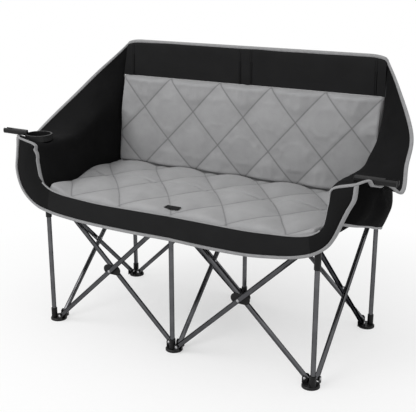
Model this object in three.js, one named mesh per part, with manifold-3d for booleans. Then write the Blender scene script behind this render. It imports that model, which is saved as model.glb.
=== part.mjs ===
// Folding camping loveseat: six feet and posts, fourteen scissor tubes, sliding brackets,
// a quilted seat and back, and winged arms with drink holders.
// Millimetres, +Z up, +X to the sitter's left hand side as seen from the front, -Y is the front.
import * as THREE from 'three';
import { mergeVertices } from 'three/addons/utils/BufferGeometryUtils.js';
import Module from 'manifold-3d';

const wasm = await Module();
wasm.setup();

// Plan of the frame
const BAY = 460; // between the middles of neighbouring feet across the width
const DEPTH = 460; // between the middles of a front foot and the rear foot behind it
const POST_OUT = 10; // a post stands this far outside the middle of its foot
const PIN_IN = 20; // a scissor pin sits this far inside the middle of its foot
const PIN_LOW = 20; // height of the lower scissor pins
const PIN_HIGH = 420; // height of the upper scissor pins, chair open

// Tubes and pins
const TUBE_D = 15;
const TUBE_WALL = 1.2;
const TUBE_SIDES = 12;
const TUBE_OVER = 6; // tube length past each end pin
const PIN_D = 4;
const PIN_PLAY = 0.4; // radial play of a pin in its hole
const HOLE_SIDES = 6;
const SEAT_GAP = 0.4; // gap kept between touching pieces

// Feet
const FOOT_D = 54;
const FOOT_RIM = 5; // height of the round base
const FOOT_CROWN = 3; // height of the sloped top of the base
const FOOT_BEVEL = 3; // how far that slope draws in
const COLLAR_WALL = 2; // plastic round a post, at the feet and at the brackets
const COLLAR_TOP = 40;
const SOCKET_FLOOR = 4; // height of the post's lower end
const CHEEK_T = 2.5; // plates that hold a tube end
const CHEEK_R = 8; // round end of those plates about the pin

// Posts: heights from the underside of the seat
const BACK_POST_RISE = 422;
const FRONT_POST_DROP = 20; // the front posts end under the seat
const INNER_TUBE_LEN = 260; // tubes that telescope in the front posts

// Arm tubes: two bends and the end, as steps out from the post and up from the seat's underside
const ARM_TUBE_LINE = [
  [0, 3],
  [30, 30],
  [56, 160],
];

// Sliding brackets
const SLEEVE_LEN = 73; // sleeve of a corner bracket
const SLEEVE_LEN_CENTRE = 46; // sleeve of a middle bracket
const PLATE_RISE = 10.3; // from the upper pins to the underside of the top plate
const PLATE_T = 4;

// Hubs between the crossing front tubes
const HUB_T = 4;
const HUB_LONG = 62;
const HUB_WIDE = 30;

// Rivets
const RIVET_HEAD_D = 9;
const RIVET_HEAD_H = 2;
const RIVET_SIDES = 8;

// Seat
const CLOTH_GAP = 2; // between cloth pieces that curve side by side
const SEAT_REAR_GAP = 6.5; // between the seat and the rear posts
const SEAT_EDGE_T = 9; // thickness at the drawn-in edges
const SEAT_CROWN = 7; // extra thickness in the middle
const QUILT_PUFF = 8; // height of a diamond above its stitched lines
const QUILT_PITCHES = 5; // diamonds across the width
const SEAT_ROWS = 11; // grid steps along the seat
const SEAT_SPLIT = 6; // grid steps along its front half
const BACK_THIRDS = 3; // half diamonds up the back
const STEPS_PER_HALF = 3; // grid steps in half a diamond
const HALVINGS = 24; // steps of the search for a point at a given depth

// Back: heights from the underside of the seat
const BACK_OVER = 4; // how far the back reaches past the middle of the corner posts
const QUILT_TOP = 329;
const BACK_EDGE_T = 12;
const BACK_CROWN = 10;
const BAND_TOP = 449;
const BAND_CORNER = 22; // round of its upper corners
const BAND_T = 6;
const BAND_ROOF_T = 10;
const POCKET_LOW = 380; // lower edge of the rear pocket over the post ends
const POCKET_T = 4;

// Front valance and arm fronts: heights from the underside of the seat
const VALANCE_T = 5;
const VALANCE_HEM = -64; // hem in the middle
const VALANCE_TOP = 5; // top edge in the middle
const VALANCE_END_RISE = 10; // how much both edges rise to the ends
const ARM_SWEEP = [0.55, 0.08, 0.35, 0.62]; // shares of width and height that shape its lower corner

// Wings: share of the depth, then steps out from the inner wall and up from the seat's underside
const WING_T = 5;
const WING_ROWS = 14;
const WING_STEPS = 10;
const FACET_STEPS = 12; // samples across a facet where a holder lies on the arm
const WING_LINES = [
  [0, [0, 4.5], [28, 52], [40, 118], [45, 160], [110, 181]],
  [0.075, [0, 4.5], [21, 55], [27, 115], [32, 161], [147, 178]],
  [0.187, [9, 4.5], [20, 60], [24, 115], [29, 161], [171, 160]],
  [0.278, [23, 4.5], [26, 60], [28, 115], [32, 160], [193, 141]],
  [0.475, [31, 4.5], [32, 58], [33, 110], [36, 157], [173, 191]],
  [0.7, [31, 4.5], [31, 72], [31, 140], [36, 196], [149, 252]],
  [0.9, [27, 4.5], [25, 85], [23, 165], [26, 243], [71, 366]],
];
const WING_REAR = [4.5, 110, 220, 330, 427]; // heights along the back's edge

// Side panels: share of the depth, then the hem's step out and up
const PANEL_T = 4;
const PANEL_STEPS = 4;
const PANEL_START = [0.97, 0.74]; // where it meets its wing at front and rear, as a share of the girth
const PANEL_BULGE = 30; // at mid depth, none at the front and the rear
const PANEL_HEM = [
  [0, 97, 68],
  [0.145, 96, 46],
  [0.27, 107, 29],
  [0.35, 111, 15],
  [0.48, 106, -4],
  [0.62, 86, -28],
  [0.77, 64, -52],
  [1, 30, -88],
];

// Drink holders: steps out from the middle of the front post and back from the valance
const RING_OUT = 69;
const RING_BACK = 63;
const RING_OUT_D = 88;
const RING_WALL = 5;
const RING_H = 20;
const RING_SINK = 14; // the ring hangs this far below the bar, let into the arm
const RING_SIDES = 24;
const BAR_OUT = 195;
const BAR_IN = 80; // where a bar without a ring starts
const BAR_BACK = 45;
const BAR_WIDE = 22;
const BAR_TALL = 17;
const BAR_CORNER = 6;
const SLOT_W = 12; // slot for a glass stem
const SLOT_LEN = 34;

const tubeR = TUBE_D / 2;
const pinR = PIN_D / 2;
const holeR = pinR + PIN_PLAY;
const lane = tubeR + PIN_PLAY + HUB_T / 2; // tubes of a crossing run this far either side of its middle plane
const collarR = tubeR + SEAT_GAP + COLLAR_WALL;
const plateLow = PIN_HIGH + PLATE_RISE;
const plateTop = plateLow + PLATE_T;
const seatLow = plateTop + SEAT_GAP;
const frontFace = -(DEPTH / 2 + POST_OUT + collarR + SEAT_GAP); // inner face of the valance
const postFace = DEPTH / 2 + POST_OUT - tubeR; // front of the rear posts
const postX = BAY + POST_OUT; // middle of the corner posts
const wallX = postX - tubeR - SEAT_GAP - WING_T; // a wing's foot passes inside its front post
const armInner = wallX + SEAT_GAP;
const backHalf = postX + BACK_OVER;
const wingFront = frontFace + SEAT_GAP;
const wingRear = postFace - SEAT_GAP;
const ringX = postX + RING_OUT;
const ringY = frontFace + RING_BACK;

const steel = { color: 0x55585c, roughness: 0.38, metalness: 0.85 };
const plastic = { color: 0x161718, roughness: 0.55, metalness: 0.0 };
const rivetSteel = { color: 0xc9cbcd, roughness: 0.3, metalness: 1.0 };
const greyCloth = { color: 0x97979a, roughness: 0.9, metalness: 0.0 };
const blackCloth = { color: 0x1e1f21, roughness: 0.9, metalness: 0.0 };

const chair = new THREE.Group();

function addMesh(name, geometry, look) {
  const mesh = new THREE.Mesh(geometry, new THREE.MeshStandardMaterial(look));
  mesh.name = name;
  chair.add(mesh);
  return mesh;
}

// A geometry with its shared corners merged, done before it is moved so that they match exactly
function bare(geometry) {
  const copy = geometry.clone();
  copy.deleteAttribute('normal');
  copy.deleteAttribute('uv');
  const merged = mergeVertices(copy, 1e-4);
  // A lathe that starts on its axis has triangles with no area there
  const kept = [];
  const order = merged.index.array;
  for (let k = 0; k < order.length; k += 3) {
    const [a, b, c] = [order[k], order[k + 1], order[k + 2]];
    if (a !== b && b !== c && c !== a) {
      kept.push(a, b, c);
    }
  }
  merged.setIndex(kept);
  return merged;
}

function toSolid(geometry) {
  const mesh = new wasm.Mesh({
    numProp: 3,
    vertProperties: new Float32Array(geometry.attributes.position.array),
    triVerts: new Uint32Array(geometry.index.array),
  });
  return new wasm.Manifold(mesh);
}

function fromSolid(solid) {
  const mesh = solid.getMesh();
  const geometry = new THREE.BufferGeometry();
  geometry.setAttribute('position', new THREE.BufferAttribute(new Float32Array(mesh.vertProperties), 3));
  geometry.setIndex(new THREE.BufferAttribute(new Uint32Array(mesh.triVerts), 1));
  return geometry;
}

function joined(geometries) {
  return geometries.map(toSolid).reduce((all, one) => all.add(one));
}

function cut(solid, geometries) {
  return geometries.map(toSolid).reduce((left, tool) => left.subtract(tool), solid);
}

// A cylinder from one point to another
function rod(from, to, radius, sides) {
  const length = from.distanceTo(to);
  const geometry = bare(new THREE.CylinderGeometry(radius, radius, length, sides));
  geometry.translate(0, length / 2, 0);
  const turn = new THREE.Quaternion().setFromUnitVectors(
    new THREE.Vector3(0, 1, 0),
    to.clone().sub(from).normalize(),
  );
  geometry.applyQuaternion(turn);
  geometry.translate(from.x, from.y, from.z);
  return geometry;
}

// An upright pipe with open ends, standing on z = 0
function pipe(outer, inner, length, sides) {
  const profile = [
    new THREE.Vector2(inner, 0),
    new THREE.Vector2(outer, 0),
    new THREE.Vector2(outer, length),
    new THREE.Vector2(inner, length),
    new THREE.Vector2(inner, 0),
  ];
  const geometry = bare(new THREE.LatheGeometry(profile, sides));
  geometry.rotateX(Math.PI / 2);
  return geometry;
}

// A flat outline drawn out along its z
function extruded(shape, depth, curveSegments) {
  return bare(new THREE.ExtrudeGeometry(shape, { depth, bevelEnabled: false, curveSegments }));
}

function box(low, high) {
  const size = high.clone().sub(low);
  const geometry = bare(new THREE.BoxGeometry(size.x, size.y, size.z));
  const middle = low.clone().add(high).multiplyScalar(0.5);
  geometry.translate(middle.x, middle.y, middle.z);
  return geometry;
}

const point = (x, y, z) => new THREE.Vector3(x, y, z);

// The six stations of the frame: column -1, 0, 1 from left to right, row -1 front and 1 rear
const columns = { left: -1, centre: 0, right: 1 };
const rows = { front: -1, rear: 1 };
const stations = {};
for (const [rowName, row] of Object.entries(rows)) {
  for (const [columnName, column] of Object.entries(columns)) {
    const middle = point(column * BAY, (row * DEPTH) / 2, 0);
    const post = middle.clone().add(point(column * POST_OUT, row * POST_OUT, 0));
    stations[`${rowName}_${columnName}`] = { row, column, middle, post };
  }
}

// The scissor pairs: neighbours along the front, along the rear, and from front to rear
const pairs = [
  ['front_left', 'front_centre'],
  ['front_centre', 'front_right'],
  ['rear_left', 'rear_centre'],
  ['rear_centre', 'rear_right'],
  ['front_left', 'rear_left'],
  ['front_centre', 'rear_centre'],
  ['front_right', 'rear_right'],
];
const up = point(0, 0, 1);

// A tube rises from the foot of one station to the bracket of the other. Rising rightwards it runs
// in the front lane and rising leftwards in the rear lane; from front to rear it runs in the right
// lane and back again in the left one.
function braceBetween(low, high) {
  const from = stations[low];
  const to = stations[high];
  const along = to.middle.clone().sub(from.middle).normalize();
  const side = up.clone().cross(along).negate();
  const shift = side.clone().multiplyScalar(lane);
  const foot = from.middle.clone().addScaledVector(along, PIN_IN).add(shift).setZ(PIN_LOW);
  const top = to.middle.clone().addScaledVector(along, -PIN_IN).add(shift).setZ(PIN_HIGH);
  return { low, high, along, side, foot, top, name: `brace_${low}_to_${high}` };
}
const braces = pairs.flatMap(([a, b]) => [braceBetween(a, b), braceBetween(b, a)]);

// A pair of plates, one either side of a tube end, and the pin between them that the tube turns on
function cheeks(brace, pin, reach) {
  const half = tubeR + SEAT_GAP;
  const across = brace.along.clone().cross(up);
  const plates = [half, -half - CHEEK_T].map((start) => {
    const shape = new THREE.Shape();
    shape.moveTo(-CHEEK_R, reach);
    shape.lineTo(-CHEEK_R, 0);
    shape.absarc(0, 0, CHEEK_R, Math.PI, reach > 0 ? 2 * Math.PI : 0, reach < 0);
    shape.lineTo(CHEEK_R, reach);
    shape.closePath();
    const plate = extruded(shape, CHEEK_T, HOLE_SIDES);
    // Shape x runs along the brace, shape y runs up, and the plate's thickness runs across it
    const basis = new THREE.Matrix4().makeBasis(brace.along, up, across);
    basis.setPosition(pin.clone().addScaledVector(across, start));
    plate.applyMatrix4(basis);
    return plate;
  });
  const grip = across.clone().multiplyScalar(half + CHEEK_T / 2);
  return [...plates, rod(pin.clone().sub(grip), pin.clone().add(grip), pinR, HOLE_SIDES)];
}

// Feet with their post sockets and tube plates
function makeFoot(name, station) {
  const radius = FOOT_D / 2;
  const baseTop = FOOT_RIM + FOOT_CROWN;
  const profile = [
    new THREE.Vector2(0, 0),
    new THREE.Vector2(radius, 0),
    new THREE.Vector2(radius, FOOT_RIM),
    new THREE.Vector2(radius - FOOT_BEVEL, baseTop),
    new THREE.Vector2(0, baseTop),
  ];
  const base = bare(new THREE.LatheGeometry(profile, 2 * TUBE_SIDES));
  base.rotateX(Math.PI / 2);
  base.translate(station.middle.x, station.middle.y, 0);
  const { x, y } = station.post;
  const collar = rod(point(x, y, FOOT_RIM), point(x, y, COLLAR_TOP), collarR, TUBE_SIDES);
  const own = braces.filter((brace) => brace.low === name);
  const plates = own.flatMap((brace) => cheeks(brace, brace.foot, FOOT_RIM - PIN_LOW));
  const socket = rod(
    point(x, y, SOCKET_FLOOR - SEAT_GAP),
    point(x, y, COLLAR_TOP + COLLAR_WALL),
    tubeR + SEAT_GAP,
    TUBE_SIDES,
  );
  addMesh(`foot_${name}`, fromSolid(cut(joined([base, collar, ...plates]), [socket])), plastic);
}

// A rivet along an axis, with a head at each end and an optional shoulder in its middle
function rivet(middle, axis, grip, shoulder) {
  const half = grip / 2 + SEAT_GAP;
  const head = RIVET_HEAD_D / 2;
  const crown = half + RIVET_HEAD_H;
  const collar = shoulder
    ? [
        new THREE.Vector2(pinR, -HUB_T / 2),
        new THREE.Vector2(head, -HUB_T / 2),
        new THREE.Vector2(head, HUB_T / 2),
        new THREE.Vector2(pinR, HUB_T / 2),
      ]
    : [];
  const profile = [
    new THREE.Vector2(0, -crown),
    new THREE.Vector2(head, -half),
    new THREE.Vector2(pinR, -half),
    ...collar,
    new THREE.Vector2(pinR, half),
    new THREE.Vector2(head, half),
    new THREE.Vector2(0, crown),
  ];
  const geometry = bare(new THREE.LatheGeometry(profile, RIVET_SIDES));
  geometry.applyQuaternion(new THREE.Quaternion().setFromUnitVectors(point(0, 1, 0), axis));
  geometry.translate(middle.x, middle.y, middle.z);
  return geometry;
}

// Posts
function makePost(name, station) {
  const top = seatLow + (station.row < 0 ? -FRONT_POST_DROP : BACK_POST_RISE);
  const geometry = pipe(tubeR, tubeR - TUBE_WALL, top - SOCKET_FLOOR, TUBE_SIDES);
  geometry.translate(station.post.x, station.post.y, SOCKET_FLOOR);
  addMesh(`post_${name}`, geometry, steel);
}

// Sliding brackets: a sleeve on the post, a top plate, and plates with pins for the tube tops
function makeBracket(name, station) {
  const own = braces.filter((brace) => brace.high === name);
  const { x, y } = station.post;
  const low = plateTop - (station.column === 0 ? SLEEVE_LEN_CENTRE : SLEEVE_LEN);
  const sleeve = rod(point(x, y, low), point(x, y, plateTop), collarR, TUBE_SIDES);
  const plates = own.flatMap((brace) => cheeks(brace, brace.top, plateTop - PIN_HIGH));
  const bounds = new THREE.Box3();
  for (const plate of plates) {
    plate.computeBoundingBox();
    bounds.union(plate.boundingBox);
  }
  bounds.expandByPoint(point(x - collarR, y - collarR, plateTop));
  bounds.expandByPoint(point(x + collarR, y + collarR, plateTop));
  const roof = box(
    point(bounds.min.x, bounds.min.y, plateLow),
    point(bounds.max.x, bounds.max.y, plateTop),
  );
  const bore = rod(
    point(x, y, low - PLATE_T),
    point(x, y, plateTop + PLATE_T),
    tubeR + SEAT_GAP,
    TUBE_SIDES,
  );
  addMesh(`bracket_${name}`, fromSolid(cut(joined([sleeve, roof, ...plates]), [bore])), plastic);
}

// A rod along a line with bends, mitred at each bend
function bentRod(path, radius, sides) {
  const last = path.length - 1;
  const way = (k) => path[k + 1].clone().sub(path[k]).normalize();
  const turn = new THREE.Quaternion().setFromUnitVectors(up, way(0));
  let ring = Array.from({ length: sides }, (_, j) => {
    const angle = (2 * Math.PI * j) / sides;
    return point(radius * Math.cos(angle), radius * Math.sin(angle), 0).applyQuaternion(turn).add(path[0]);
  });
  const corners = [...ring];
  const index = [];
  for (let k = 1; k <= last; k += 1) {
    const along = way(k - 1);
    const mitre = along.clone().add(way(Math.min(k, last - 1))).normalize();
    ring = ring.map((p) => {
      return p.clone().addScaledVector(along, path[k].clone().sub(p).dot(mitre) / along.dot(mitre));
    });
    corners.push(...ring);
    for (let j = 0; j < sides; j += 1) {
      const low = (k - 1) * sides;
      const next = (j + 1) % sides;
      index.push(low + j, low + next, low + sides + next, low + j, low + sides + next, low + sides + j);
    }
  }
  for (let j = 1; j + 1 < sides; j += 1) {
    const end = last * sides;
    index.push(0, j + 1, j, end, end + j, end + j + 1);
  }
  const geometry = new THREE.BufferGeometry().setFromPoints(corners);
  geometry.setIndex(index);
  return geometry;
}

// A tube that telescopes in a front post. Its cap fills the bracket's bore, and the tubes at the corners
// go on from there, bent outwards into the arms.
function makeInnerTube(name, station) {
  const outer = tubeR - TUBE_WALL - PIN_PLAY;
  const { x, y } = station.post;
  const arm = ARM_TUBE_LINE.map(([out, rise]) => point(x + station.column * out, y, seatLow + rise));
  const upper = station.column === 0 ? [point(x, y, plateTop)] : arm;
  const path = [point(x, y, plateTop - INNER_TUBE_LEN), ...upper];
  const past = (end, before) => end.clone().sub(before).setLength(TUBE_OVER).add(end);
  const bore = [past(path[0], path[1]), ...path.slice(1, -1), past(path.at(-1), path.at(-2))];
  const cap = rod(point(x, y, plateLow), point(x, y, plateTop), tubeR, TUBE_SIDES);
  const solid = joined([bentRod(path, outer, TUBE_SIDES), cap]);
  addMesh(name, fromSolid(cut(solid, [bentRod(bore, outer - TUBE_WALL, TUBE_SIDES)])), steel);
}

// Scissor tubes with their pin holes
function makeBrace(brace) {
  const run = brace.top.clone().sub(brace.foot);
  const length = run.length();
  const tube = pipe(tubeR, tubeR - TUBE_WALL, length + 2 * TUBE_OVER, TUBE_SIDES);
  tube.translate(0, 0, -TUBE_OVER);
  const holes = [0, length / 2, length].map((z) =>
    rod(point(-TUBE_D, 0, z), point(TUBE_D, 0, z), holeR, HOLE_SIDES),
  );
  const mesh = addMesh(brace.name, fromSolid(cut(toSolid(tube), holes)), steel);
  const direction = run.normalize();
  const across = brace.side;
  const third = direction.clone().cross(across);
  mesh.quaternion.setFromRotationMatrix(new THREE.Matrix4().makeBasis(across, third, direction));
  mesh.position.copy(brace.foot);
}

// Crossings: a plastic hub between the front tubes, a shouldered rivet elsewhere
function makeCrossing([a, b]) {
  const first = braces.find((brace) => brace.low === a && brace.high === b);
  const second = braces.find((brace) => brace.low === b && brace.high === a);
  const middle = [first.foot, first.top, second.foot, second.top]
    .reduce((sum, p) => sum.add(p), point(0, 0, 0))
    .multiplyScalar(1 / 4);
  const front = stations[a].row < 0 && stations[b].row < 0;
  const grip = 2 * (lane + tubeR);
  addMesh(`rivet_${a}_${b}`, rivet(middle, first.side, grip, !front), rivetSteel);
  if (front) {
    const shape = new THREE.Shape();
    const lobe = HUB_WIDE / 2;
    const straight = HUB_LONG / 2 - lobe;
    shape.absarc(straight, 0, lobe, -Math.PI / 2, Math.PI / 2, false);
    shape.absarc(-straight, 0, lobe, Math.PI / 2, (3 * Math.PI) / 2, false);
    shape.closePath();
    const bore = new THREE.Path();
    bore.absarc(0, 0, holeR, 0, 2 * Math.PI, true);
    shape.holes.push(bore);
    const hub = extruded(shape, HUB_T, RIVET_SIDES);
    hub.translate(0, 0, -HUB_T / 2);
    hub.rotateX(Math.PI / 2);
    hub.translate(middle.x, middle.y, middle.z);
    addMesh(`hub_${a}_${b}`, hub, plastic);
  }
}

for (const [name, station] of Object.entries(stations)) {
  makeFoot(name, station);
  makePost(name, station);
  makeBracket(name, station);
}
makeInnerTube('inner_tube_front_centre', stations.front_centre);
makeInnerTube('arm_tube_left', stations.front_left);
makeInnerTube('arm_tube_right', stations.front_right);
braces.forEach(makeBrace);
pairs.forEach(makeCrossing);

// Closed solid between two grids of points that share their borders' order
function skin(front, back) {
  const rowCount = front.length;
  const width = front[0].length;
  const positions = [];
  for (const grid of [front, back]) {
    for (const line of grid) {
      for (const p of line) {
        positions.push(p.x, p.y, p.z);
      }
    }
  }
  const at = (layer, i, j) => layer * rowCount * width + i * width + j;
  const index = [];
  const quad = (a, b, c, d) => index.push(a, b, c, a, c, d);
  for (let i = 0; i + 1 < rowCount; i += 1) {
    for (let j = 0; j + 1 < width; j += 1) {
      // The split follows the stitched diagonals of a quilt
      if ((i + j) % 2 === 0) {
        quad(at(0, i, j), at(0, i, j + 1), at(0, i + 1, j + 1), at(0, i + 1, j));
      } else {
        quad(at(0, i, j + 1), at(0, i + 1, j + 1), at(0, i + 1, j), at(0, i, j));
      }
      quad(at(1, i, j), at(1, i + 1, j), at(1, i + 1, j + 1), at(1, i, j + 1));
    }
  }
  for (let j = 0; j + 1 < width; j += 1) {
    const last = rowCount - 1;
    quad(at(0, 0, j), at(1, 0, j), at(1, 0, j + 1), at(0, 0, j + 1));
    quad(at(0, last, j + 1), at(1, last, j + 1), at(1, last, j), at(0, last, j));
  }
  for (let i = 0; i + 1 < rowCount; i += 1) {
    const last = width - 1;
    quad(at(0, i + 1, 0), at(1, i + 1, 0), at(1, i, 0), at(0, i, 0));
    quad(at(0, i, last), at(1, i, last), at(1, i + 1, last), at(0, i + 1, last));
  }
  const geometry = new THREE.BufferGeometry();
  geometry.setAttribute('position', new THREE.Float32BufferAttribute(positions, 3));
  geometry.setIndex(index);
  return geometry;
}

// Turns a closed geometry inside out if its faces point in
function facingOut(geometry) {
  const p = geometry.attributes.position;
  const order = geometry.index.array;
  const corner = (k) => new THREE.Vector3().fromBufferAttribute(p, order[k]);
  let volume = 0;
  for (let k = 0; k < order.length; k += 3) {
    volume += corner(k).dot(corner(k + 1).cross(corner(k + 2)));
  }
  if (volume < 0) {
    for (let k = 0; k < order.length; k += 3) {
      [order[k + 1], order[k + 2]] = [order[k + 2], order[k + 1]];
    }
  }
  return geometry;
}

// Height of a quilted face: zero on the stitched diagonals, one in the middle of a diamond
function puffAt(column, row) {
  const step = Math.PI / (2 * STEPS_PER_HALF);
  return Math.sqrt(Math.abs(Math.sin((column + row) * step) * Math.sin((column - row) * step)));
}

const quiltColumns = 2 * QUILT_PITCHES * STEPS_PER_HALF;

// Rounded rise from a border to the middle of a pad
function crownAt(share) {
  return 1 - (2 * share - 1) ** 4;
}

// Inner face of the right wing, as curves from the seat up and out to the wing's edge
const wingCurves = WING_LINES.map(([share, ...line]) => {
  const y = wingFront + (wingRear - wingFront) * share;
  return new THREE.CatmullRomCurve3(line.map(([out, rise]) => point(wallX + out, y, seatLow + rise)));
});
const rearEdge = WING_REAR.map((rise) => point(backHalf + CLOTH_GAP, wingRear, seatLow + rise));
wingCurves.push(new THREE.CatmullRomCurve3(rearEdge));

// Girth is 0 at the seat and 1 at the edge, length is 0 at the front and 1 at the rear
function wingPoint(girth, length) {
  return new THREE.CatmullRomCurve3(wingCurves.map((curve) => curve.getPoint(girth))).getPoint(length);
}

// Point of a front-to-rear curve at a given y
function atDepth(curve, y) {
  let low = 0;
  let high = 1;
  for (let k = 0; k < HALVINGS; k += 1) {
    const middle = (low + high) / 2;
    if (curve(middle).y < y) {
      low = middle;
    } else {
      high = middle;
    }
  }
  return curve(low);
}

// Seat in a front and a rear half, so that it can hang double when the chair folds
function makeSeat(name, firstRow, lastRow) {
  const front = frontFace + SEAT_GAP;
  const length = postFace - SEAT_REAR_GAP - front;
  const half = SEAT_GAP / 2;
  const top = [];
  const bottom = [];
  for (let row = firstRow; row <= lastRow; row += 1) {
    const share = row / SEAT_ROWS;
    const inner = row > 0 && row < SEAT_ROWS;
    const trim = inner && row === firstRow ? half : 0;
    const back = inner && row === lastRow ? -half : 0;
    const y = front + length * share + trim + back;
    const halfWidth = atDepth((t) => wingPoint(0, t), y).x - CLOTH_GAP;
    const topLine = [];
    const bottomLine = [];
    for (let column = 0; column <= quiltColumns; column += 1) {
      const across = column / quiltColumns;
      const x = (2 * across - 1) * halfWidth;
      const crown = SEAT_CROWN * crownAt(across) * crownAt(share);
      const edge = column === 0 || column === quiltColumns || row === 0 || row === SEAT_ROWS;
      const puff = edge ? 0 : QUILT_PUFF * puffAt(column + STEPS_PER_HALF, row);
      topLine.push(point(x, y, seatLow + SEAT_EDGE_T + crown + puff));
      bottomLine.push(point(x, y, seatLow));
    }
    top.push(topLine);
    bottom.push(bottomLine);
  }
  addMesh(name, facingOut(skin(top, bottom)), greyCloth);
}
makeSeat('seat_front_half', 0, SEAT_SPLIT);
makeSeat('seat_rear_half', SEAT_SPLIT, SEAT_ROWS);

// Quilted back, in front of the rear posts
function makeBack() {
  const total = BACK_THIRDS * STEPS_PER_HALF;
  const rear = postFace - SEAT_GAP;
  const low = SEAT_EDGE_T + CLOTH_GAP;
  const front = [];
  const back = [];
  for (let row = 0; row <= total; row += 1) {
    const share = row / total;
    const z = seatLow + QUILT_TOP + (low - QUILT_TOP) * share;
    const frontLine = [];
    const backLine = [];
    for (let column = 0; column <= quiltColumns; column += 1) {
      const across = column / quiltColumns;
      const x = (2 * across - 1) * backHalf;
      const edge = column === 0 || column === quiltColumns || row === 0 || row === total;
      const puff = edge ? 0 : QUILT_PUFF * puffAt(column, row);
      const deep = BACK_EDGE_T + BACK_CROWN * crownAt(across) * crownAt(share) + puff;
      frontLine.push(point(x, rear - deep, z));
      backLine.push(point(x, rear, z));
    }
    front.push(frontLine);
    back.push(backLine);
  }
  addMesh('back_quilt', facingOut(skin(front, back)), greyCloth);
}
makeBack();

// Band across the top of the back, folded over the post ends as a pocket
function makeBackBand() {
  const front = postFace - SEAT_GAP;
  const rear = postFace + TUBE_D + SEAT_GAP;
  const shape = new THREE.Shape();
  shape.moveTo(front - BAND_T, QUILT_TOP + SEAT_GAP);
  shape.lineTo(front, QUILT_TOP + SEAT_GAP);
  shape.lineTo(front, BAND_TOP - BAND_ROOF_T);
  shape.lineTo(rear, BAND_TOP - BAND_ROOF_T);
  shape.lineTo(rear, POCKET_LOW);
  shape.lineTo(rear + POCKET_T, POCKET_LOW);
  shape.lineTo(rear + POCKET_T, BAND_TOP - POCKET_T);
  shape.lineTo(rear, BAND_TOP);
  shape.lineTo(front, BAND_TOP);
  shape.lineTo(front - BAND_T, BAND_TOP - POCKET_T);
  shape.closePath();
  const band = extruded(shape, 2 * backHalf, 1);
  band.applyMatrix4(new THREE.Matrix4().makeBasis(point(0, 1, 0), point(0, 0, 1), point(1, 0, 0)));
  band.translate(-backHalf, 0, seatLow);
  const round = backHalf - BAND_CORNER;
  const outline = new THREE.Shape();
  outline.moveTo(-backHalf, 0);
  outline.lineTo(backHalf, 0);
  outline.absarc(round, BAND_TOP - BAND_CORNER, BAND_CORNER, 0, Math.PI / 2, false);
  outline.absarc(-round, BAND_TOP - BAND_CORNER, BAND_CORNER, Math.PI / 2, Math.PI, false);
  outline.closePath();
  const slab = extruded(outline, DEPTH, RIVET_SIDES);
  slab.rotateX(Math.PI / 2);
  slab.translate(0, DEPTH, seatLow);
  addMesh('back_top_band', fromSolid(toSolid(facingOut(band)).intersect(toSolid(slab))), blackCloth);
}
makeBackBand();

// A flat cloth piece cut to an outline in x and height over the seat, in the plane of the chair's front
function frontPiece(name, shape) {
  const cloth = extruded(shape, VALANCE_T, 2 * RIVET_SIDES);
  cloth.rotateX(Math.PI / 2);
  cloth.translate(0, frontFace, seatLow);
  addMesh(name, facingOut(cloth), blackCloth);
}

function makeValance() {
  const end = armInner - SEAT_GAP;
  const shape = new THREE.Shape();
  shape.moveTo(-end, VALANCE_HEM + VALANCE_END_RISE);
  shape.quadraticCurveTo(0, VALANCE_HEM - VALANCE_END_RISE, end, VALANCE_HEM + VALANCE_END_RISE);
  shape.lineTo(end, VALANCE_TOP + VALANCE_END_RISE);
  shape.quadraticCurveTo(0, VALANCE_TOP - VALANCE_END_RISE, -end, VALANCE_TOP + VALANCE_END_RISE);
  shape.closePath();
  frontPiece('front_valance', shape);
}
makeValance();

// Its inner and upper edge lies along the wing's front edge
function makeArmFront(name, hand) {
  const hem = VALANCE_HEM + VALANCE_END_RISE;
  const edge = wingCurves[0].getPoints(2 * WING_STEPS).reverse();
  const armOuter = edge[0].x + SEAT_GAP;
  const wide = armOuter - armInner;
  const tall = edge[0].z - seatLow - hem;
  const [along, lift, sag, straight] = ARM_SWEEP;
  const shape = new THREE.Shape();
  shape.moveTo(hand * armInner, hem);
  shape.bezierCurveTo(
    hand * (armInner + along * wide),
    hem + lift * tall,
    hand * armOuter,
    hem + sag * tall,
    hand * armOuter,
    hem + straight * tall,
  );
  for (const p of edge) {
    shape.lineTo(hand * (p.x + SEAT_GAP), p.z - seatLow);
  }
  shape.closePath();
  frontPiece(name, shape);
}
makeArmFront('arm_front_left', -1);
makeArmFront('arm_front_right', 1);

function wingNormal(girth, length) {
  const small = 0.01;
  const a = wingPoint(Math.max(0, girth - small), length);
  const b = wingPoint(Math.min(1, girth + small), length);
  const along = b.sub(a);
  return point(along.z, 0, -along.x).normalize();
}

function mirrored(grid, hand) {
  return grid.map((line) => line.map((p) => point(hand * p.x, p.y, p.z)));
}

const innerFace = [];
const outerFace = [];
for (let i = 0; i <= WING_ROWS; i += 1) {
  const girths = Array.from({ length: WING_STEPS + 1 }, (_, j) => j / WING_STEPS);
  const line = girths.map((girth) => wingPoint(girth, i / WING_ROWS));
  const normals = girths.map((girth) => wingNormal(girth, i / WING_ROWS));
  innerFace.push(line);
  outerFace.push(line.map((p, j) => p.clone().addScaledVector(normals[j], WING_T)));
}

// A wing, with a round opening where a cup ring is let into it
function makeWing(name, hand, ringed) {
  const cloth = facingOut(skin(innerFace, outerFace));
  const opening = rod(
    point(ringX, ringY, seatLow),
    point(ringX, ringY, seatLow + BAND_TOP),
    (RING_OUT_D / 2 + SEAT_GAP) / Math.cos(Math.PI / RING_SIDES),
    RING_SIDES,
  );
  const geometry = ringed ? fromSolid(cut(toSolid(cloth), [opening])) : cloth;
  geometry.scale(hand, 1, 1);
  addMesh(name, facingOut(geometry), blackCloth);
}
makeWing('wing_left', -1, true);
makeWing('wing_right', 1, false);

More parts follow.
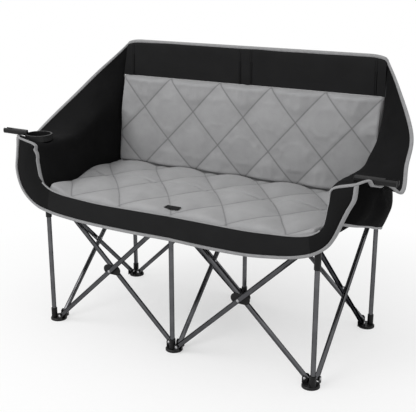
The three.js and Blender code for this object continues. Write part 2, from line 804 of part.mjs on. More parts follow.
// Outer side panel: from the underside of a wing down to its hem
const hemCurve = new THREE.CatmullRomCurve3(
  PANEL_HEM.map(([share, out, rise]) => {
    return point(wallX + out, wingFront + (wingRear - wingFront) * share, seatLow + rise);
  }),
);

function makeSidePanel(name, hand) {
  const inner = [];
  const outer = [];
  for (let i = 0; i <= WING_ROWS; i += 1) {
    const length = i / WING_ROWS;
    const girth = PANEL_START[0] + (PANEL_START[1] - PANEL_START[0]) * length ** 2;
    const n = wingNormal(girth, length);
    const top = wingPoint(girth, length).addScaledVector(n, WING_T + CLOTH_GAP);
    top.z -= PANEL_T;
    const hem = atDepth((t) => hemCurve.getPoint(t), top.y);
    hem.y = top.y;
    const innerLine = [];
    const outerLine = [];
    for (let j = 0; j <= PANEL_STEPS; j += 1) {
      const drop = j / PANEL_STEPS;
      const p = top.clone().lerp(hem, drop);
      p.x += PANEL_BULGE * Math.sin(Math.PI * drop) * Math.sin(Math.PI * length);
      innerLine.push(p);
      outerLine.push(p.clone().add(point(PANEL_T, 0, 0)));
    }
    inner.push(innerLine);
    outer.push(outerLine);
  }
  addMesh(name, facingOut(skin(mirrored(inner, hand), mirrored(outer, hand))), blackCloth);
}
makeSidePanel('side_panel_left', -1);
makeSidePanel('side_panel_right', 1);

// Highest point of a wing's faceted inner face inside a rectangle seen from above
function wingHeight(xLow, xHigh, yLow, yHigh) {
  let highest = -Infinity;
  const within = (p) => p.x >= xLow && p.x <= xHigh && p.y >= yLow && p.y <= yHigh;
  for (let i = 0; i < WING_ROWS; i += 1) {
    for (let j = 0; j < WING_STEPS; j += 1) {
      for (let k = 0; k <= FACET_STEPS ** 2; k += 1) {
        const along = Math.floor(k / FACET_STEPS) / FACET_STEPS;
        const across = (k % FACET_STEPS) / FACET_STEPS;
        const near = innerFace[i][j].clone().lerp(innerFace[i][j + 1], across);
        const far = innerFace[i + 1][j].clone().lerp(innerFace[i + 1][j + 1], across);
        const p = near.lerp(far, along);
        highest = within(p) ? Math.max(highest, p.z) : highest;
      }
    }
  }
  return highest;
}

// A moulded bar on each arm with a slot for a glass stem, on the left arm with a cup ring
function makeHolder(name, hand, ringed) {
  const radius = RING_OUT_D / 2;
  const half = BAR_WIDE / 2;
  const barEnd = postX + BAR_OUT;
  const barY = frontFace + BAR_BACK;
  const barStart = ringed ? ringX : postX + BAR_IN;
  const low = wingHeight(barStart, barEnd, barY - half, barY + half) + SEAT_GAP;
  const ring = pipe(radius, radius - RING_WALL, RING_H, RING_SIDES);
  ring.translate(ringX, ringY, low - RING_SINK);
  const shape = new THREE.Shape();
  shape.moveTo(-half + BAR_CORNER, 0);
  shape.absarc(half - BAR_CORNER, BAR_CORNER, BAR_CORNER, -Math.PI / 2, 0, false);
  shape.absarc(half - BAR_CORNER, BAR_TALL - BAR_CORNER, BAR_CORNER, 0, Math.PI / 2, false);
  shape.absarc(-half + BAR_CORNER, BAR_TALL - BAR_CORNER, BAR_CORNER, Math.PI / 2, Math.PI, false);
  shape.absarc(-half + BAR_CORNER, BAR_CORNER, BAR_CORNER, Math.PI, 1.5 * Math.PI, false);
  const bar = extruded(shape, barEnd - barStart, 3);
  bar.applyMatrix4(new THREE.Matrix4().makeBasis(point(0, 1, 0), point(0, 0, 1), point(1, 0, 0)));
  bar.translate(barStart, barY, low);
  const slot = box(
    point(barEnd - SLOT_LEN, barY - SLOT_W / 2, low - BAR_TALL),
    point(barEnd + SLOT_LEN, barY + SLOT_W / 2, low + 2 * BAR_TALL),
  );
  const hollow = rod(
    point(ringX, ringY, low - RING_SINK - RING_H),
    point(ringX, ringY, low + 2 * BAR_TALL),
    radius - RING_WALL,
    RING_SIDES,
  );
  const geometry = fromSolid(ringed ? cut(joined([ring, bar]), [slot, hollow]) : cut(toSolid(bar), [slot]));
  geometry.scale(hand, 1, 1);
  addMesh(name, facingOut(geometry), plastic);
}
makeHolder('drink_holder_left', -1, true);
makeHolder('drink_holder_right', 1, false);

export default chair;
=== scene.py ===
"""Looks of the folding camping loveseat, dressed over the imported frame. Lengths below are millimetres."""
import math

import bmesh
import bpy
import numpy as np
from mathutils import Matrix, Vector, noise
from mathutils.bvhtree import BVHTree


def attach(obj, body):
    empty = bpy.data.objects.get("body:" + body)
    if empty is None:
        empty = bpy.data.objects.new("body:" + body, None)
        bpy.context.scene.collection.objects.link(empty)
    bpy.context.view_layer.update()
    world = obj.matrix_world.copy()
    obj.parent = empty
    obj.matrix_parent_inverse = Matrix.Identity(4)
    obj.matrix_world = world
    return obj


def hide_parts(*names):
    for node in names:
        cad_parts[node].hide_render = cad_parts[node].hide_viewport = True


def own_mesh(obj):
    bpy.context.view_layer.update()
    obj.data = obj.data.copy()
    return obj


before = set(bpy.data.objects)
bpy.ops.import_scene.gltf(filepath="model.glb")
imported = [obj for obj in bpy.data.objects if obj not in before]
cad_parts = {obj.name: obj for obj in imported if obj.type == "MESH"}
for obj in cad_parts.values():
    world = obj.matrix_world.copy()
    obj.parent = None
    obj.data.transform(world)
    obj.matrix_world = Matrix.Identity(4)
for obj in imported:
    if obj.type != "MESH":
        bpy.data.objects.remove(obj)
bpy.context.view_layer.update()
scene = bpy.context.scene
MM = 0.001

# Sizes that the frame and the cloth share with the part's source
BAY, DEPTH, PIN_IN, PIN_LOW, PIN_HIGH = 460, 460, 20, 20, 420
LANE, CHEEK_OUT = 9.9, 10.4  # sideways from a bay's line to a tube, and from the tube to a plate's face
SEAT_LOW = 434.7  # underside of the seat
FRONT_FACE, POST_FACE = -250.3, 232.5  # depth of the front cloth and of the rear posts' front side
WALL_X = 457.1  # foot of a wing, out from the middle
BACK_HALF = 475.2
WING_FRONT, WING_REAR_Y = -249.9, 232.1
# A wing from front to rear: share of its depth, then points out from its foot and up from the seat
WING_LINES = [
    [0, [6, 6], [28, 52], [40, 118], [45, 160], [110, 181]],
    [0.075, [13, 6], [21, 55], [27, 115], [32, 161], [147, 178]],
    [0.187, [16, 6], [20, 60], [24, 115], [29, 161], [171, 160]],
    [0.278, [24, 6], [26, 60], [28, 115], [32, 160], [193, 141]],
    [0.475, [31, 6], [32, 58], [33, 110], [36, 157], [173, 191]],
    [0.7, [31, 6], [31, 72], [31, 140], [36, 196], [149, 252]],
    [0.9, [27, 6], [25, 85], [23, 165], [26, 243], [71, 366]],
]
WING_REAR = [6, 110, 220, 330, 434]
WING_FOOT, WING_THICK = 5.4, 3.2  # how far it runs on down beside the seat
PANEL_ROWS, PANEL_THICK = 61, 2.6
# An outer side's hem: share of the depth, out from the wing's foot, up from the seat
PANEL_HEM = [[0, 97, 68], [0.145, 96, 46], [0.27, 107, 29], [0.35, 111, 15], [0.48, 106, -4], [0.62, 86, -28],
             [0.77, 64, -52], [1, 30, -88]]
PANEL_START = (0.97, 0.74)  # how far round the wing it hangs, at the front and at the rear
PANEL_BULGE = 30
RING = (539.0, -187.3, 44.8)  # middle and radius of the opening for the cup ring
PATCH_CORNER, PATCH_WIDE, PATCH_DEEP = (-39.4, -214.6), (46.0, 0.7), (0.9, 20.2)
PATCH_FLAT = 0.75  # how far the patch bridges the quilting under it
PATCH_HEM = 3.0  # cloth turned in along each edge
PATCH_GRID = (9, 13)
BAND_LOW, BAND_TOP, BAND_POCKET = 329.6, 449, 380  # up from the seat: lower edge, top, rear edge
BAND_CORNER = (60.0, 15.0)  # reach and fall of its rounded ends
BAND_SEAMS = (-445, -20.5, 20.5, 445)
BAND_ROWS, SEAM_ROWS = 44, 17
BAND_END_POWER = 30  # only its left end follows the slack
# Front cloth: inner edge and the hems of both sides, out from the middle and up from the seat, numbered alike
FRONT_INNER = [(0, 8), (130, 6.5), (260, 6), (340, 10), (390, 13.5), (422, 18), (447, 24.5), (464, 33),
               (476, 44), (484, 60), (489, 82), (493, 108), (497, 128), (500, 146), (506, 162)]
HEM_LEFT = [(0, -65), (130, -66.5), (260, -65.5), (340, -62.5), (400, -58), (432, -54.5), (460, -50),
            (500, -40), (537, -18), (563, 11), (577, 46), (581.5, 84), (577, 112), (572, 142), (567, 180)]
HEM_RIGHT = [(0, -65), (130, -68), (258, -66), (335, -58), (388, -50), (425, -41), (455, -30), (482, -14),
             (503, 5), (518, 28), (530, 54), (541, 82), (553, 110), (568, 142), (572, 180)]
FRONT_CUT = 6  # number where the valance ends and an arm begins


# Materials. Lengths in them are metres; quilting is measured in diamonds along the "stitch" UV map
STITCH_HALF, GROOVE_HALF, PUCKER_REACH = 0.0085, 0.03, 0.24
STITCHES, STITCH_SHARE = 34.0, 0.72  # stitches along a diamond, and the part of each that is thread
PUCKERS_ALONG, PUCKERS_ACROSS, PUCKER_HEIGHT = 11.0, 2.2, 16.0
# How dark the painted shade is in the grooves and over the puckers, the tone of that painted shade, and how
# much the thread covers
DENT_SHADE, PUCKER_SHADE, SHADE_TONE, THREAD_COVER = 0.5, 0.15, 0.45, 0.6
WEAVE_BUMP, RIB_BUMP, RIB_PITCH = 0.00012, 0.0001, 0.0011
NO_STITCH = (0.25, 0.25)  # a place on the stitch map away from every line


def new_material(name):
    mat = bpy.data.materials.new(name)
    mat.use_nodes = True
    return mat, mat.node_tree, mat.node_tree.nodes["Principled BSDF"]


def add(tree, kind, **values):
    node = tree.nodes.new(kind)
    for key, value in values.items():
        setattr(node, key, value)
    return node


def maths(tree, operation, a, b=None, clamp=False):
    node = add(tree, "ShaderNodeMath", operation=operation, use_clamp=clamp)
    for k, value in enumerate((a, b)):
        if value is None:
            continue
        if isinstance(value, (int, float)):
            node.inputs[k].default_value = value
        else:
            tree.links.new(value, node.inputs[k])
    return node.outputs[0]


def fading(tree, value, reach):
    """One at zero, falling to nothing at reach."""
    return maths(tree, "SUBTRACT", 1.0, maths(tree, "DIVIDE", value, reach), clamp=True)


def mixed(tree, factor, low, high):
    """Goes from low to high with the factor; each is a colour or another node's output."""
    node = add(tree, "ShaderNodeMix", data_type="RGBA")
    tree.links.new(factor, node.inputs[0])
    for socket, value in ((node.inputs[6], low), (node.inputs[7], high)):
        if isinstance(value, tuple):
            socket.default_value = (*value, 1)
        else:
            tree.links.new(value, socket)
    return node.outputs[2]


def textured(tree, coords, scale, detail=3.0, roughness=0.6):
    tex = add(tree, "ShaderNodeTexNoise")
    tex.inputs["Scale"].default_value = scale
    tex.inputs["Detail"].default_value = detail
    tex.inputs["Roughness"].default_value = roughness
    tree.links.new(coords, tex.inputs["Vector"])
    return tex.outputs["Fac"]


def bumped(tree, height, distance, strength=1.0):
    bump = add(tree, "ShaderNodeBump")
    bump.inputs["Distance"].default_value = distance
    bump.inputs["Strength"].default_value = strength
    tree.links.new(height, bump.inputs["Height"])
    return bump.outputs["Normal"]


def woven(name, low, high, thread, sheen, rough, gloss, stitched=None, groove=0.0):
    """Woven cloth: plain weave of a given thread width in metres on the UV map, with soft mottling and,
    on a quilt, stitched lines that follow the second UV map, with painted shade in their grooves and over
    the puckers beside them; the thread's dark colour stands partly for painted shade in the groove."""
    mat, tree, shader = new_material(name)
    uv = add(tree, "ShaderNodeUVMap", uv_map="cloth").outputs[0]
    split = add(tree, "ShaderNodeSeparateXYZ")
    tree.links.new(uv, split.inputs[0])
    turn = 2 * math.pi / (2 * thread)
    warp = maths(tree, "SINE", maths(tree, "MULTIPLY", split.outputs[0], turn))
    weft = maths(tree, "SINE", maths(tree, "MULTIPLY", split.outputs[1], turn))
    weave = maths(tree, "MULTIPLY", warp, weft)
    slub = textured(tree, uv, 900.0, 2.0)
    mottle = textured(tree, uv, 14.0, 4.0)
    tone = maths(tree, "ADD", maths(tree, "MULTIPLY", weave, 0.14), mottle)
    tone = maths(tree, "ADD", tone, maths(tree, "MULTIPLY", slub, 0.3))
    tone = maths(tree, "SUBTRACT", tone, 0.15, clamp=True)
    colour = mixed(tree, tone, low, high)
    height = maths(tree, "ADD", weave, maths(tree, "MULTIPLY", slub, 0.6))
    if stitched:
        pair = add(tree, "ShaderNodeSeparateXYZ")
        tree.links.new(add(tree, "ShaderNodeUVMap", uv_map="stitch").outputs[0], pair.inputs[0])
        marks, lines, puckers = [], [], []
        for mine, other in ((0, 1), (1, 0)):
            along = pair.outputs[other]
            off = maths(tree, "PINGPONG", pair.outputs[mine], 0.5)
            line = maths(tree, "LESS_THAN", off, STITCH_HALF)
            dash = maths(tree, "FRACT", maths(tree, "MULTIPLY", along, STITCHES))
            dash = maths(tree, "LESS_THAN", dash, STITCH_SHARE)
            marks.append(maths(tree, "MULTIPLY", line, dash))
            lines.append(fading(tree, off, GROOVE_HALF))
            near = fading(tree, off, PUCKER_REACH)
            ripple = add(tree, "ShaderNodeCombineXYZ")
            tree.links.new(maths(tree, "MULTIPLY", along, PUCKERS_ALONG), ripple.inputs[0])
            tree.links.new(maths(tree, "MULTIPLY", pair.outputs[mine], PUCKERS_ACROSS), ripple.inputs[1])
            wave = textured(tree, ripple.outputs[0], 1.0, 1.0)
            puckers.append(maths(tree, "MULTIPLY", wave, maths(tree, "MULTIPLY", near, near)))
        mark = maths(tree, "MAXIMUM", *marks)
        dent = maths(tree, "MAXIMUM", *lines)
        pucker = maths(tree, "ADD", *puckers)
        # Painted shade: the colour darkens in each stitched groove and over the puckers beside it
        shade = maths(tree, "MULTIPLY", dent, DENT_SHADE)
        shade = maths(tree, "ADD", shade, maths(tree, "MULTIPLY", pucker, PUCKER_SHADE))
        colour = mixed(tree, shade, colour, tuple(SHADE_TONE * c for c in low))
        # Thread marks; their dark colour is partly painted shade in the groove
        colour = mixed(tree, maths(tree, "MULTIPLY", mark, THREAD_COVER), colour, stitched)
        height = maths(tree, "SUBTRACT", height, maths(tree, "MULTIPLY", dent, groove))
        height = maths(tree, "ADD", height, maths(tree, "MULTIPLY", pucker, PUCKER_HEIGHT))
    tree.links.new(colour, shader.inputs["Base Color"])
    tree.links.new(bumped(tree, height, WEAVE_BUMP, 0.8), shader.inputs["Normal"])
    shader.inputs["Roughness"].default_value = rough
    shader.inputs["Sheen Weight"].default_value = sheen
    shader.inputs["Sheen Roughness"].default_value = 0.45
    shader.inputs["Specular IOR Level"].default_value = gloss
    return mat


def tape(name, low, high):
    """Ribbed binding tape, its ribs along the second UV axis."""
    mat, tree, shader = new_material(name)
    uv = add(tree, "ShaderNodeUVMap", uv_map="cloth").outputs[0]
    split = add(tree, "ShaderNodeSeparateXYZ")
    tree.links.new(uv, split.inputs[0])
    rib = maths(tree, "SINE", maths(tree, "MULTIPLY", split.outputs[0], 2 * math.pi / RIB_PITCH))
    mottle = textured(tree, uv, 60.0, 3.0)
    tone = maths(tree, "ADD", maths(tree, "MULTIPLY", rib, 0.18), mottle, clamp=True)
    tree.links.new(mixed(tree, tone, low, high), shader.inputs["Base Color"])
    tree.links.new(bumped(tree, rib, RIB_BUMP, 0.7), shader.inputs["Normal"])
    shader.inputs["Roughness"].default_value = 0.82
    shader.inputs["Sheen Weight"].default_value = 0.15
    return mat


def hard(name, low, high, rough, metal, grain, bump_mm, wear=None, shine=0.5, rim=1.0):
    """Paint, moulded plastic or plated steel: speckled colour, uneven gloss, and paler rubbed edges.
    A metal with a rim of 0 loses its gloss where it is seen edge on."""
    mat, tree, shader = new_material(name)
    coords = add(tree, "ShaderNodeTexCoord").outputs["Object"]
    fine = textured(tree, coords, grain, 2.0)
    broad = textured(tree, coords, 18.0, 4.0)
    tone = maths(tree, "ADD", maths(tree, "MULTIPLY", fine, 0.35), broad)
    tone = maths(tree, "SUBTRACT", tone, 0.2, clamp=True)
    colour = mixed(tree, tone, low, high)
    if wear:
        edge = add(tree, "ShaderNodeNewGeometry").outputs["Pointiness"]
        rubbed = maths(tree, "SUBTRACT", edge, 0.53)
        rubbed = maths(tree, "MULTIPLY", rubbed, 6.0, clamp=True)
        colour = mixed(tree, maths(tree, "MULTIPLY", rubbed, broad), colour, wear)
    tree.links.new(colour, shader.inputs["Base Color"])
    gloss = maths(tree, "ADD", maths(tree, "MULTIPLY", broad, 0.16), rough - 0.08)
    tree.links.new(gloss, shader.inputs["Roughness"])
    tree.links.new(bumped(tree, fine, bump_mm * MM, 0.6), shader.inputs["Normal"])
    shader.inputs["Metallic"].default_value = metal
    shader.inputs["Specular IOR Level"].default_value = shine
    shader.inputs["Specular Tint"].default_value = (rim, rim, rim, 1)
    return mat


# The quilt's thread colour is real thread, made darker as painted shade in the stitched grooves
QUILT = woven("quilt_cloth", (0.288, 0.288, 0.293), (0.404, 0.404, 0.409), 0.0006, 0.25, 0.85, 0.25,
              stitched=(0.14, 0.14, 0.144), groove=3.6)
BLACK = woven("black_cloth", (0.0064, 0.0064, 0.0067), (0.0125, 0.0125, 0.013), 0.0007, 0.02, 0.8, 0.14)
# A darker copy of the black cloth for the arm fronts: painted shade
ARM = woven("black_arm_cloth_shaded", (0.0046, 0.0046, 0.0048), (0.009, 0.009, 0.0094), 0.0007, 0.01, 0.8, 0.1)
# The wings' black cloth: a duller weave, darkened further as painted shade
DEEP = woven("black_wing_cloth_shaded", (0.0057, 0.0057, 0.0059), (0.0115, 0.0115, 0.0119), 0.0007, 0.0, 0.85, 0.05)
# The darkest copy of the black cloth, for the outer sides of the arms: painted shade
SHADE = woven("black_side_cloth_shaded", (0.0022, 0.0022, 0.0023), (0.005, 0.005, 0.0052), 0.0007, 0.0, 0.85, 0.04)
SEAM = woven("seam_thread", (0.0008, 0.0008, 0.0008), (0.002, 0.002, 0.002), 0.0005, 0.0, 0.9, 0.02)
TAPE = tape("grey_tape", (0.21, 0.21, 0.215), (0.33, 0.33, 0.335))
STEEL = hard("tube_paint", (0.05, 0.051, 0.054), (0.078, 0.079, 0.083), 0.17, 1.0, 1400.0, 0.008,
             wear=(0.2, 0.2, 0.21), rim=0.0)
PLASTIC = hard("moulded_plastic", (0.0025, 0.0025, 0.0027), (0.006, 0.006, 0.0064), 0.46, 0.0, 2200.0, 0.05,
               wear=(0.02, 0.02, 0.02), shine=0.22)
PLATED = hard("plated_rivet", (0.3, 0.3, 0.31), (0.46, 0.46, 0.47), 0.28, 1.0, 900.0, 0.02)


# Curves and sheets
def curve_point(points, t):
    """Point of a centripetal Catmull-Rom curve through points, t from 0 to 1."""
    points = np.asarray(points, float)
    last = len(points) - 1
    p = last * min(max(t, 0.0), 1.0)
    i = min(int(p), last - 1)
    w = p - i
    p1, p2 = points[i], points[i + 1]
    p0 = points[i - 1] if i > 0 else 2 * p1 - p2
    p3 = points[i + 2] if i + 2 <= last else 2 * p2 - p1
    d0, d1, d2 = (max(np.linalg.norm(b - a) ** 0.5, 1e-3) for a, b in ((p0, p1), (p1, p2), (p2, p3)))
    m1 = ((p1 - p0) / d0 - (p2 - p0) / (d0 + d1) + (p2 - p1) / d1) * d1
    m2 = ((p2 - p1) / d1 - (p3 - p1) / (d1 + d2) + (p3 - p2) / d2) * d1
    return p1 + w * (m1 + w * (3 * (p2 - p1) - 2 * m1 - m2 + w * (2 * (p1 - p2) + m1 + m2)))


def smooth_line(points, count):
    return np.array([curve_point(points, k / (count - 1)) for k in range(count)])


def even_line(points, count):
    """The same curve with evenly spaced points."""
    fine = smooth_line(points, 16 * count)
    run = np.r_[0, np.cumsum(np.linalg.norm(np.diff(fine, axis=0), axis=1))]
    want = np.linspace(0, run[-1], count)
    return np.stack([np.interp(want, run, fine[:, k]) for k in range(3)], axis=1)


def grid_normals(grid):
    du = np.gradient(grid, axis=0)
    dv = np.gradient(grid, axis=1)
    n = np.cross(du, dv)
    return n / np.maximum(np.linalg.norm(n, axis=2, keepdims=True), 1e-9)


EDGE_STEP, EDGE_WIDE, TAPE_STEP = 0.006, 0.004, 0.002  # UV steps along sheet edges and round a tape
TAPE_SIDES, TAPE_SQUARE = 12, 0.7  # a tape's section: points, and power below 1 for a squarer one


class Build:
    """Collects faces with their UVs and material slots, then makes one mesh object."""

    def __init__(self):
        self.points, self.faces, self.slots, self.uvs, self.stitch = [], [], [], [], []

    def add_grid(self, grid, slot=0, flip=False, stitch=None, uv=None):
        rows, cols = grid.shape[:2]
        start = len(self.points)
        self.points.extend(grid.reshape(-1, 3))
        if uv is None:
            across = np.r_[0, np.cumsum(np.linalg.norm(np.diff(grid[rows // 2], axis=0), axis=1))]
            along = np.r_[0, np.cumsum(np.linalg.norm(np.diff(grid[:, cols // 2], axis=0), axis=1))]
            uv = np.stack(np.meshgrid(across, along), axis=2) * MM
        for i in range(rows - 1):
            for j in range(cols - 1):
                ring = [(i, j), (i, j + 1), (i + 1, j + 1), (i + 1, j)]
                if flip:
                    ring.reverse()
                self.faces.append([start + a * cols + b for a, b in ring])
                self.slots.append(slot)
                self.uvs.append([uv[a, b] for a, b in ring])
                self.stitch.append([NO_STITCH if stitch is None else stitch[a, b] for a, b in ring])
        return start, rows, cols

    def add_band(self, one, two, slot=0):
        """Quads between two rows of point numbers."""
        for k in range(len(one) - 1):
            self.faces.append([one[k], one[k + 1], two[k + 1], two[k]])
            self.slots.append(slot)
            u0, u1 = k * EDGE_STEP, k * EDGE_STEP + EDGE_STEP
            self.uvs.append([(u0, 0), (u1, 0), (u1, EDGE_WIDE), (u0, EDGE_WIDE)])
            self.stitch.append([NO_STITCH] * 4)

    def add_sheet(self, inner, outer, slot=0, stitch=None):
        """A closed sheet between two grids of the same shape."""
        a, rows, cols = self.add_grid(inner, slot, False, stitch)
        b, _, _ = self.add_grid(outer, slot, True)
        loop = [(0, j) for j in range(cols)] + [(i, cols - 1) for i in range(1, rows)]
        loop += [(rows - 1, j) for j in range(cols - 2, -1, -1)] + [(i, 0) for i in range(rows - 2, -1, -1)]
        one = [a + i * cols + j for i, j in loop]
        two = [b + i * cols + j for i, j in loop]
        self.add_band(two, one, slot)

    def add_tape(self, path, inward, normal, slot, width=9.0, thick=4.6, closed_ends=True):
        """Binding folded over an edge: inward points from the edge into the sheet."""
        sides = TAPE_SIDES
        angle = np.linspace(0, 2 * math.pi, sides, endpoint=False)
        flat = np.sign(np.cos(angle)) * np.abs(np.cos(angle)) ** TAPE_SQUARE
        high = np.sign(np.sin(angle)) * np.abs(np.sin(angle)) ** TAPE_SQUARE
        inward = inward / np.linalg.norm(inward, axis=1, keepdims=True)
        normal = normal / np.linalg.norm(normal, axis=1, keepdims=True)
        width = np.broadcast_to(np.asarray(width, float), (len(path),))
        thick = np.broadcast_to(np.asarray(thick, float), (len(path),))
        middle = path + inward * ((width - thick) / 2)[:, None]
        rings = middle[:, None] + inward[:, None] * (width[:, None] / 2 * flat)[..., None]
        rings = rings + normal[:, None] * (thick[:, None] / 2 * high)[..., None]
        start = len(self.points)
        self.points.extend(rings.reshape(-1, 3))
        run = np.r_[0, np.cumsum(np.linalg.norm(np.diff(path, axis=0), axis=1))] * MM
        for i in range(len(path) - 1):
            for k in range(sides):
                n = (k + 1) % sides
                self.faces.append([start + i * sides + k, start + i * sides + n,
                                   start + (i + 1) * sides + n, start + (i + 1) * sides + k])
                self.slots.append(slot)
                v0, v1 = k * TAPE_STEP, k * TAPE_STEP + TAPE_STEP
                self.uvs.append([(run[i], v0), (run[i], v1), (run[i + 1], v1), (run[i + 1], v0)])
                self.stitch.append([NO_STITCH] * 4)
        if closed_ends:
            for i in (0, len(path) - 1):
                ring = [start + i * sides + k for k in range(sides)]
                self.faces.append(ring if i else ring[::-1])
                self.slots.append(slot)
                self.uvs.append([(0, 0)] * sides)
                self.stitch.append([NO_STITCH] * sides)

    def make(self, name, materials, hand=1):
        points = np.array(self.points, float) * MM
        faces = self.faces
        if hand < 0:
            points[:, 0] *= -1
            faces = [face[::-1] for face in faces]
        mesh = bpy.data.meshes.new(name)
        mesh.from_pydata(points.tolist(), [], faces)
        for mat in materials:
            mesh.materials.append(mat)
        cloth = mesh.uv_layers.new(name="cloth")
        marks = mesh.uv_layers.new(name="stitch")
        for poly, slot, uv, st in zip(mesh.polygons, self.slots, self.uvs, self.stitch):
            poly.material_index = slot
            poly.use_smooth = True
            order = range(len(uv)) if hand > 0 else range(len(uv) - 1, -1, -1)
            for loop, k in zip(poly.loop_indices, order):
                cloth.data[loop].uv = uv[k]
                marks.data[loop].uv = st[k]
        mesh.validate()
        work = bmesh.new()
        work.from_mesh(mesh)
        bmesh.ops.recalc_face_normals(work, faces=work.faces)
        work.to_mesh(mesh)
        work.free()
        mesh.set_sharp_from_angle(angle=math.radians(70))
        obj = bpy.data.objects.new(name, mesh)
        scene.collection.objects.link(obj)
        return obj


def join(obj, other):
    """Takes the faces of another object into the first."""
    work = bmesh.new()
    work.from_mesh(obj.data)
    work.from_mesh(other.data)
    work.to_mesh(obj.data)
    work.free()
    bpy.data.objects.remove(other)


def smooth_mesh(obj):
    """Adds a subdivision and applies it, so that the mesh is final."""
    mod = obj.modifiers.new("smooth", "SUBSURF")
    mod.levels = mod.render_levels = 1
    apply_modifiers(obj)


def apply_modifiers(obj):
    graph = bpy.context.evaluated_depsgraph_get()
    mesh = bpy.data.meshes.new_from_object(obj.evaluated_get(graph))
    obj.modifiers.clear()
    old = obj.data
    obj.data = mesh
    bpy.data.meshes.remove(old)
    mesh.name = obj.name


def rumple(grid, size, seed):
    """Noise in -1..1 over a grid of points, for creases of a given size."""
    offset = Vector((seed * 7.13, seed * 3.71, seed * 1.37))
    flat = [noise.noise(Vector(p / size) + offset) for p in grid.reshape(-1, 3)]
    return np.array(flat).reshape(grid.shape[:2])


# Wing surface
def depth_at(share):
    return WING_FRONT + (WING_REAR_Y - WING_FRONT) * share


wing_rows = [[(WALL_X + x, depth_at(row[0]), SEAT_LOW + z) for x, z in row[1:]] for row in WING_LINES]
wing_rows.append([(BACK_HALF + 0.8, WING_REAR_Y, SEAT_LOW + z) for z in WING_REAR])


def wing_grid(lengths, girths):
    lines = []
    for girth in girths:
        across = [curve_point(row, girth) for row in wing_rows]
        lines.append([curve_point(across, t) for t in lengths])
    return np.array(lines).transpose(1, 0, 2)


foot_line = wing_grid(np.linspace(0, 1, 241), [0.0])[:, 0]


def eased(value, start, end):
    share = np.clip((np.asarray(value, float) - start) / (end - start), 0, 1)
    return share * share * (3 - 2 * share)


SLACK = ((25, 60, 340), (15, 310, 430))  # out at the foot, and the heights between which it ends
SLACK_Y = (-120, 150)


def splay(y, z):
    """How far the slack cloth of the left side stands out towards the rear of the seat."""
    height = np.asarray(z, float) - SEAT_LOW
    reach = sum(out * (1 - eased(height, low, high)) for out, low, high in SLACK)
    return reach * eased(y, *SLACK_Y)


def seat_half(y, hand):
    foot = float(np.interp(y, foot_line[:, 1], foot_line[:, 0])) - 0.3
    return foot + (float(splay(y, SEAT_LOW)) if hand < 0 else 0)


# Quilted pads
PITCHES = 5
CELLS = 12  # cells in half a diamond
QUILT_COLS = 2 * PITCHES * CELLS + 1
PILLOW_POWER = 0.58  # lower is fuller
SIM_START, SIM_SHARE = 0.7, 0.6  # pillow that the simulation begins with, and its share in the result
SIM_FRAMES = 20
SIM_PRESSURE, SIM_SPARE = 2.4, 0.012  # pressure, and spare cloth as a share
SLIDE_MOST, RISE_LEAST, RISE_MOST = 1.5, -0.5, 1.25  # caps on the result, the last in puffs
SEAT_ROWS, SEAT_CUT, SEAT_PUFF = 43, 6 / 11, 17.0  # the front half ends at the share SEAT_CUT
SEAT_BASE, SEAT_CROWN, SEAT_EDGE = 7, 7, 1.5
RIM_REACH, RIM_RISE, RIM_FRONT_RISE, RIM_FRONT_REACH = 55, 5, 13, 150  # the seat rises along both sides
BACK_TOP, BACK_FOOT, BACK_PUFF = 329, 12, 15.5
BACK_BASE, BACK_CROWN, BACK_EDGE = 9, 10, 2
FLAP_HEIGHTS, FLAP_THICK = (26, 14, 0.6), 1.6


def inflate(grid, start, direction, pinned, puff):
    """Blows a stitched face up by cloth simulation with the stitched points pinned.
    Returns the new points."""
    rows, cols = grid.shape[:2]
    build = Build()
    build.add_grid(start)
    obj = build.make("quilt_work", [])
    group = obj.vertex_groups.new(name="pin")
    group.add([int(k) for k in np.flatnonzero(pinned)], 1.0, "REPLACE")
    cloth = obj.modifiers.new("cloth", "CLOTH")
    s = cloth.settings
    s.quality = 5
    s.mass = 0.12
    s.tension_stiffness = s.compression_stiffness = 12
    s.shear_stiffness = 3
    s.bending_stiffness = 0.5
    s.air_damping = 4
    s.effector_weights.gravity = 0
    s.use_pressure = True
    s.uniform_pressure_force = SIM_PRESSURE
    s.shrink_min = -SIM_SPARE
    s.vertex_group_mass = "pin"
    s.pin_stiffness = 1.0
    cloth.collision_settings.use_collision = False
    cloth.collision_settings.use_self_collision = False
    cloth.point_cache.frame_start = 1
    cloth.point_cache.frame_end = SIM_FRAMES + 4
    for k in range(1, SIM_FRAMES + 1):
        scene.frame_set(k)
    graph = bpy.context.evaluated_depsgraph_get()
    result = obj.evaluated_get(graph).data
    flat = np.empty(len(result.vertices) * 3)
    result.vertices.foreach_get("co", flat)
    moved = flat.reshape(rows, cols, 3) / MM - grid
    scene.frame_set(1)
    bpy.data.objects.remove(obj)
    rise = (moved * direction).sum(axis=2)
    slide = np.clip(moved - rise[..., None] * direction, -SLIDE_MOST, SLIDE_MOST)
    top = max(np.percentile(rise, 97), 1e-6)
    rise = np.clip(rise * puff / top, RISE_LEAST, RISE_MOST * puff)
    return grid + slide + rise[..., None] * direction


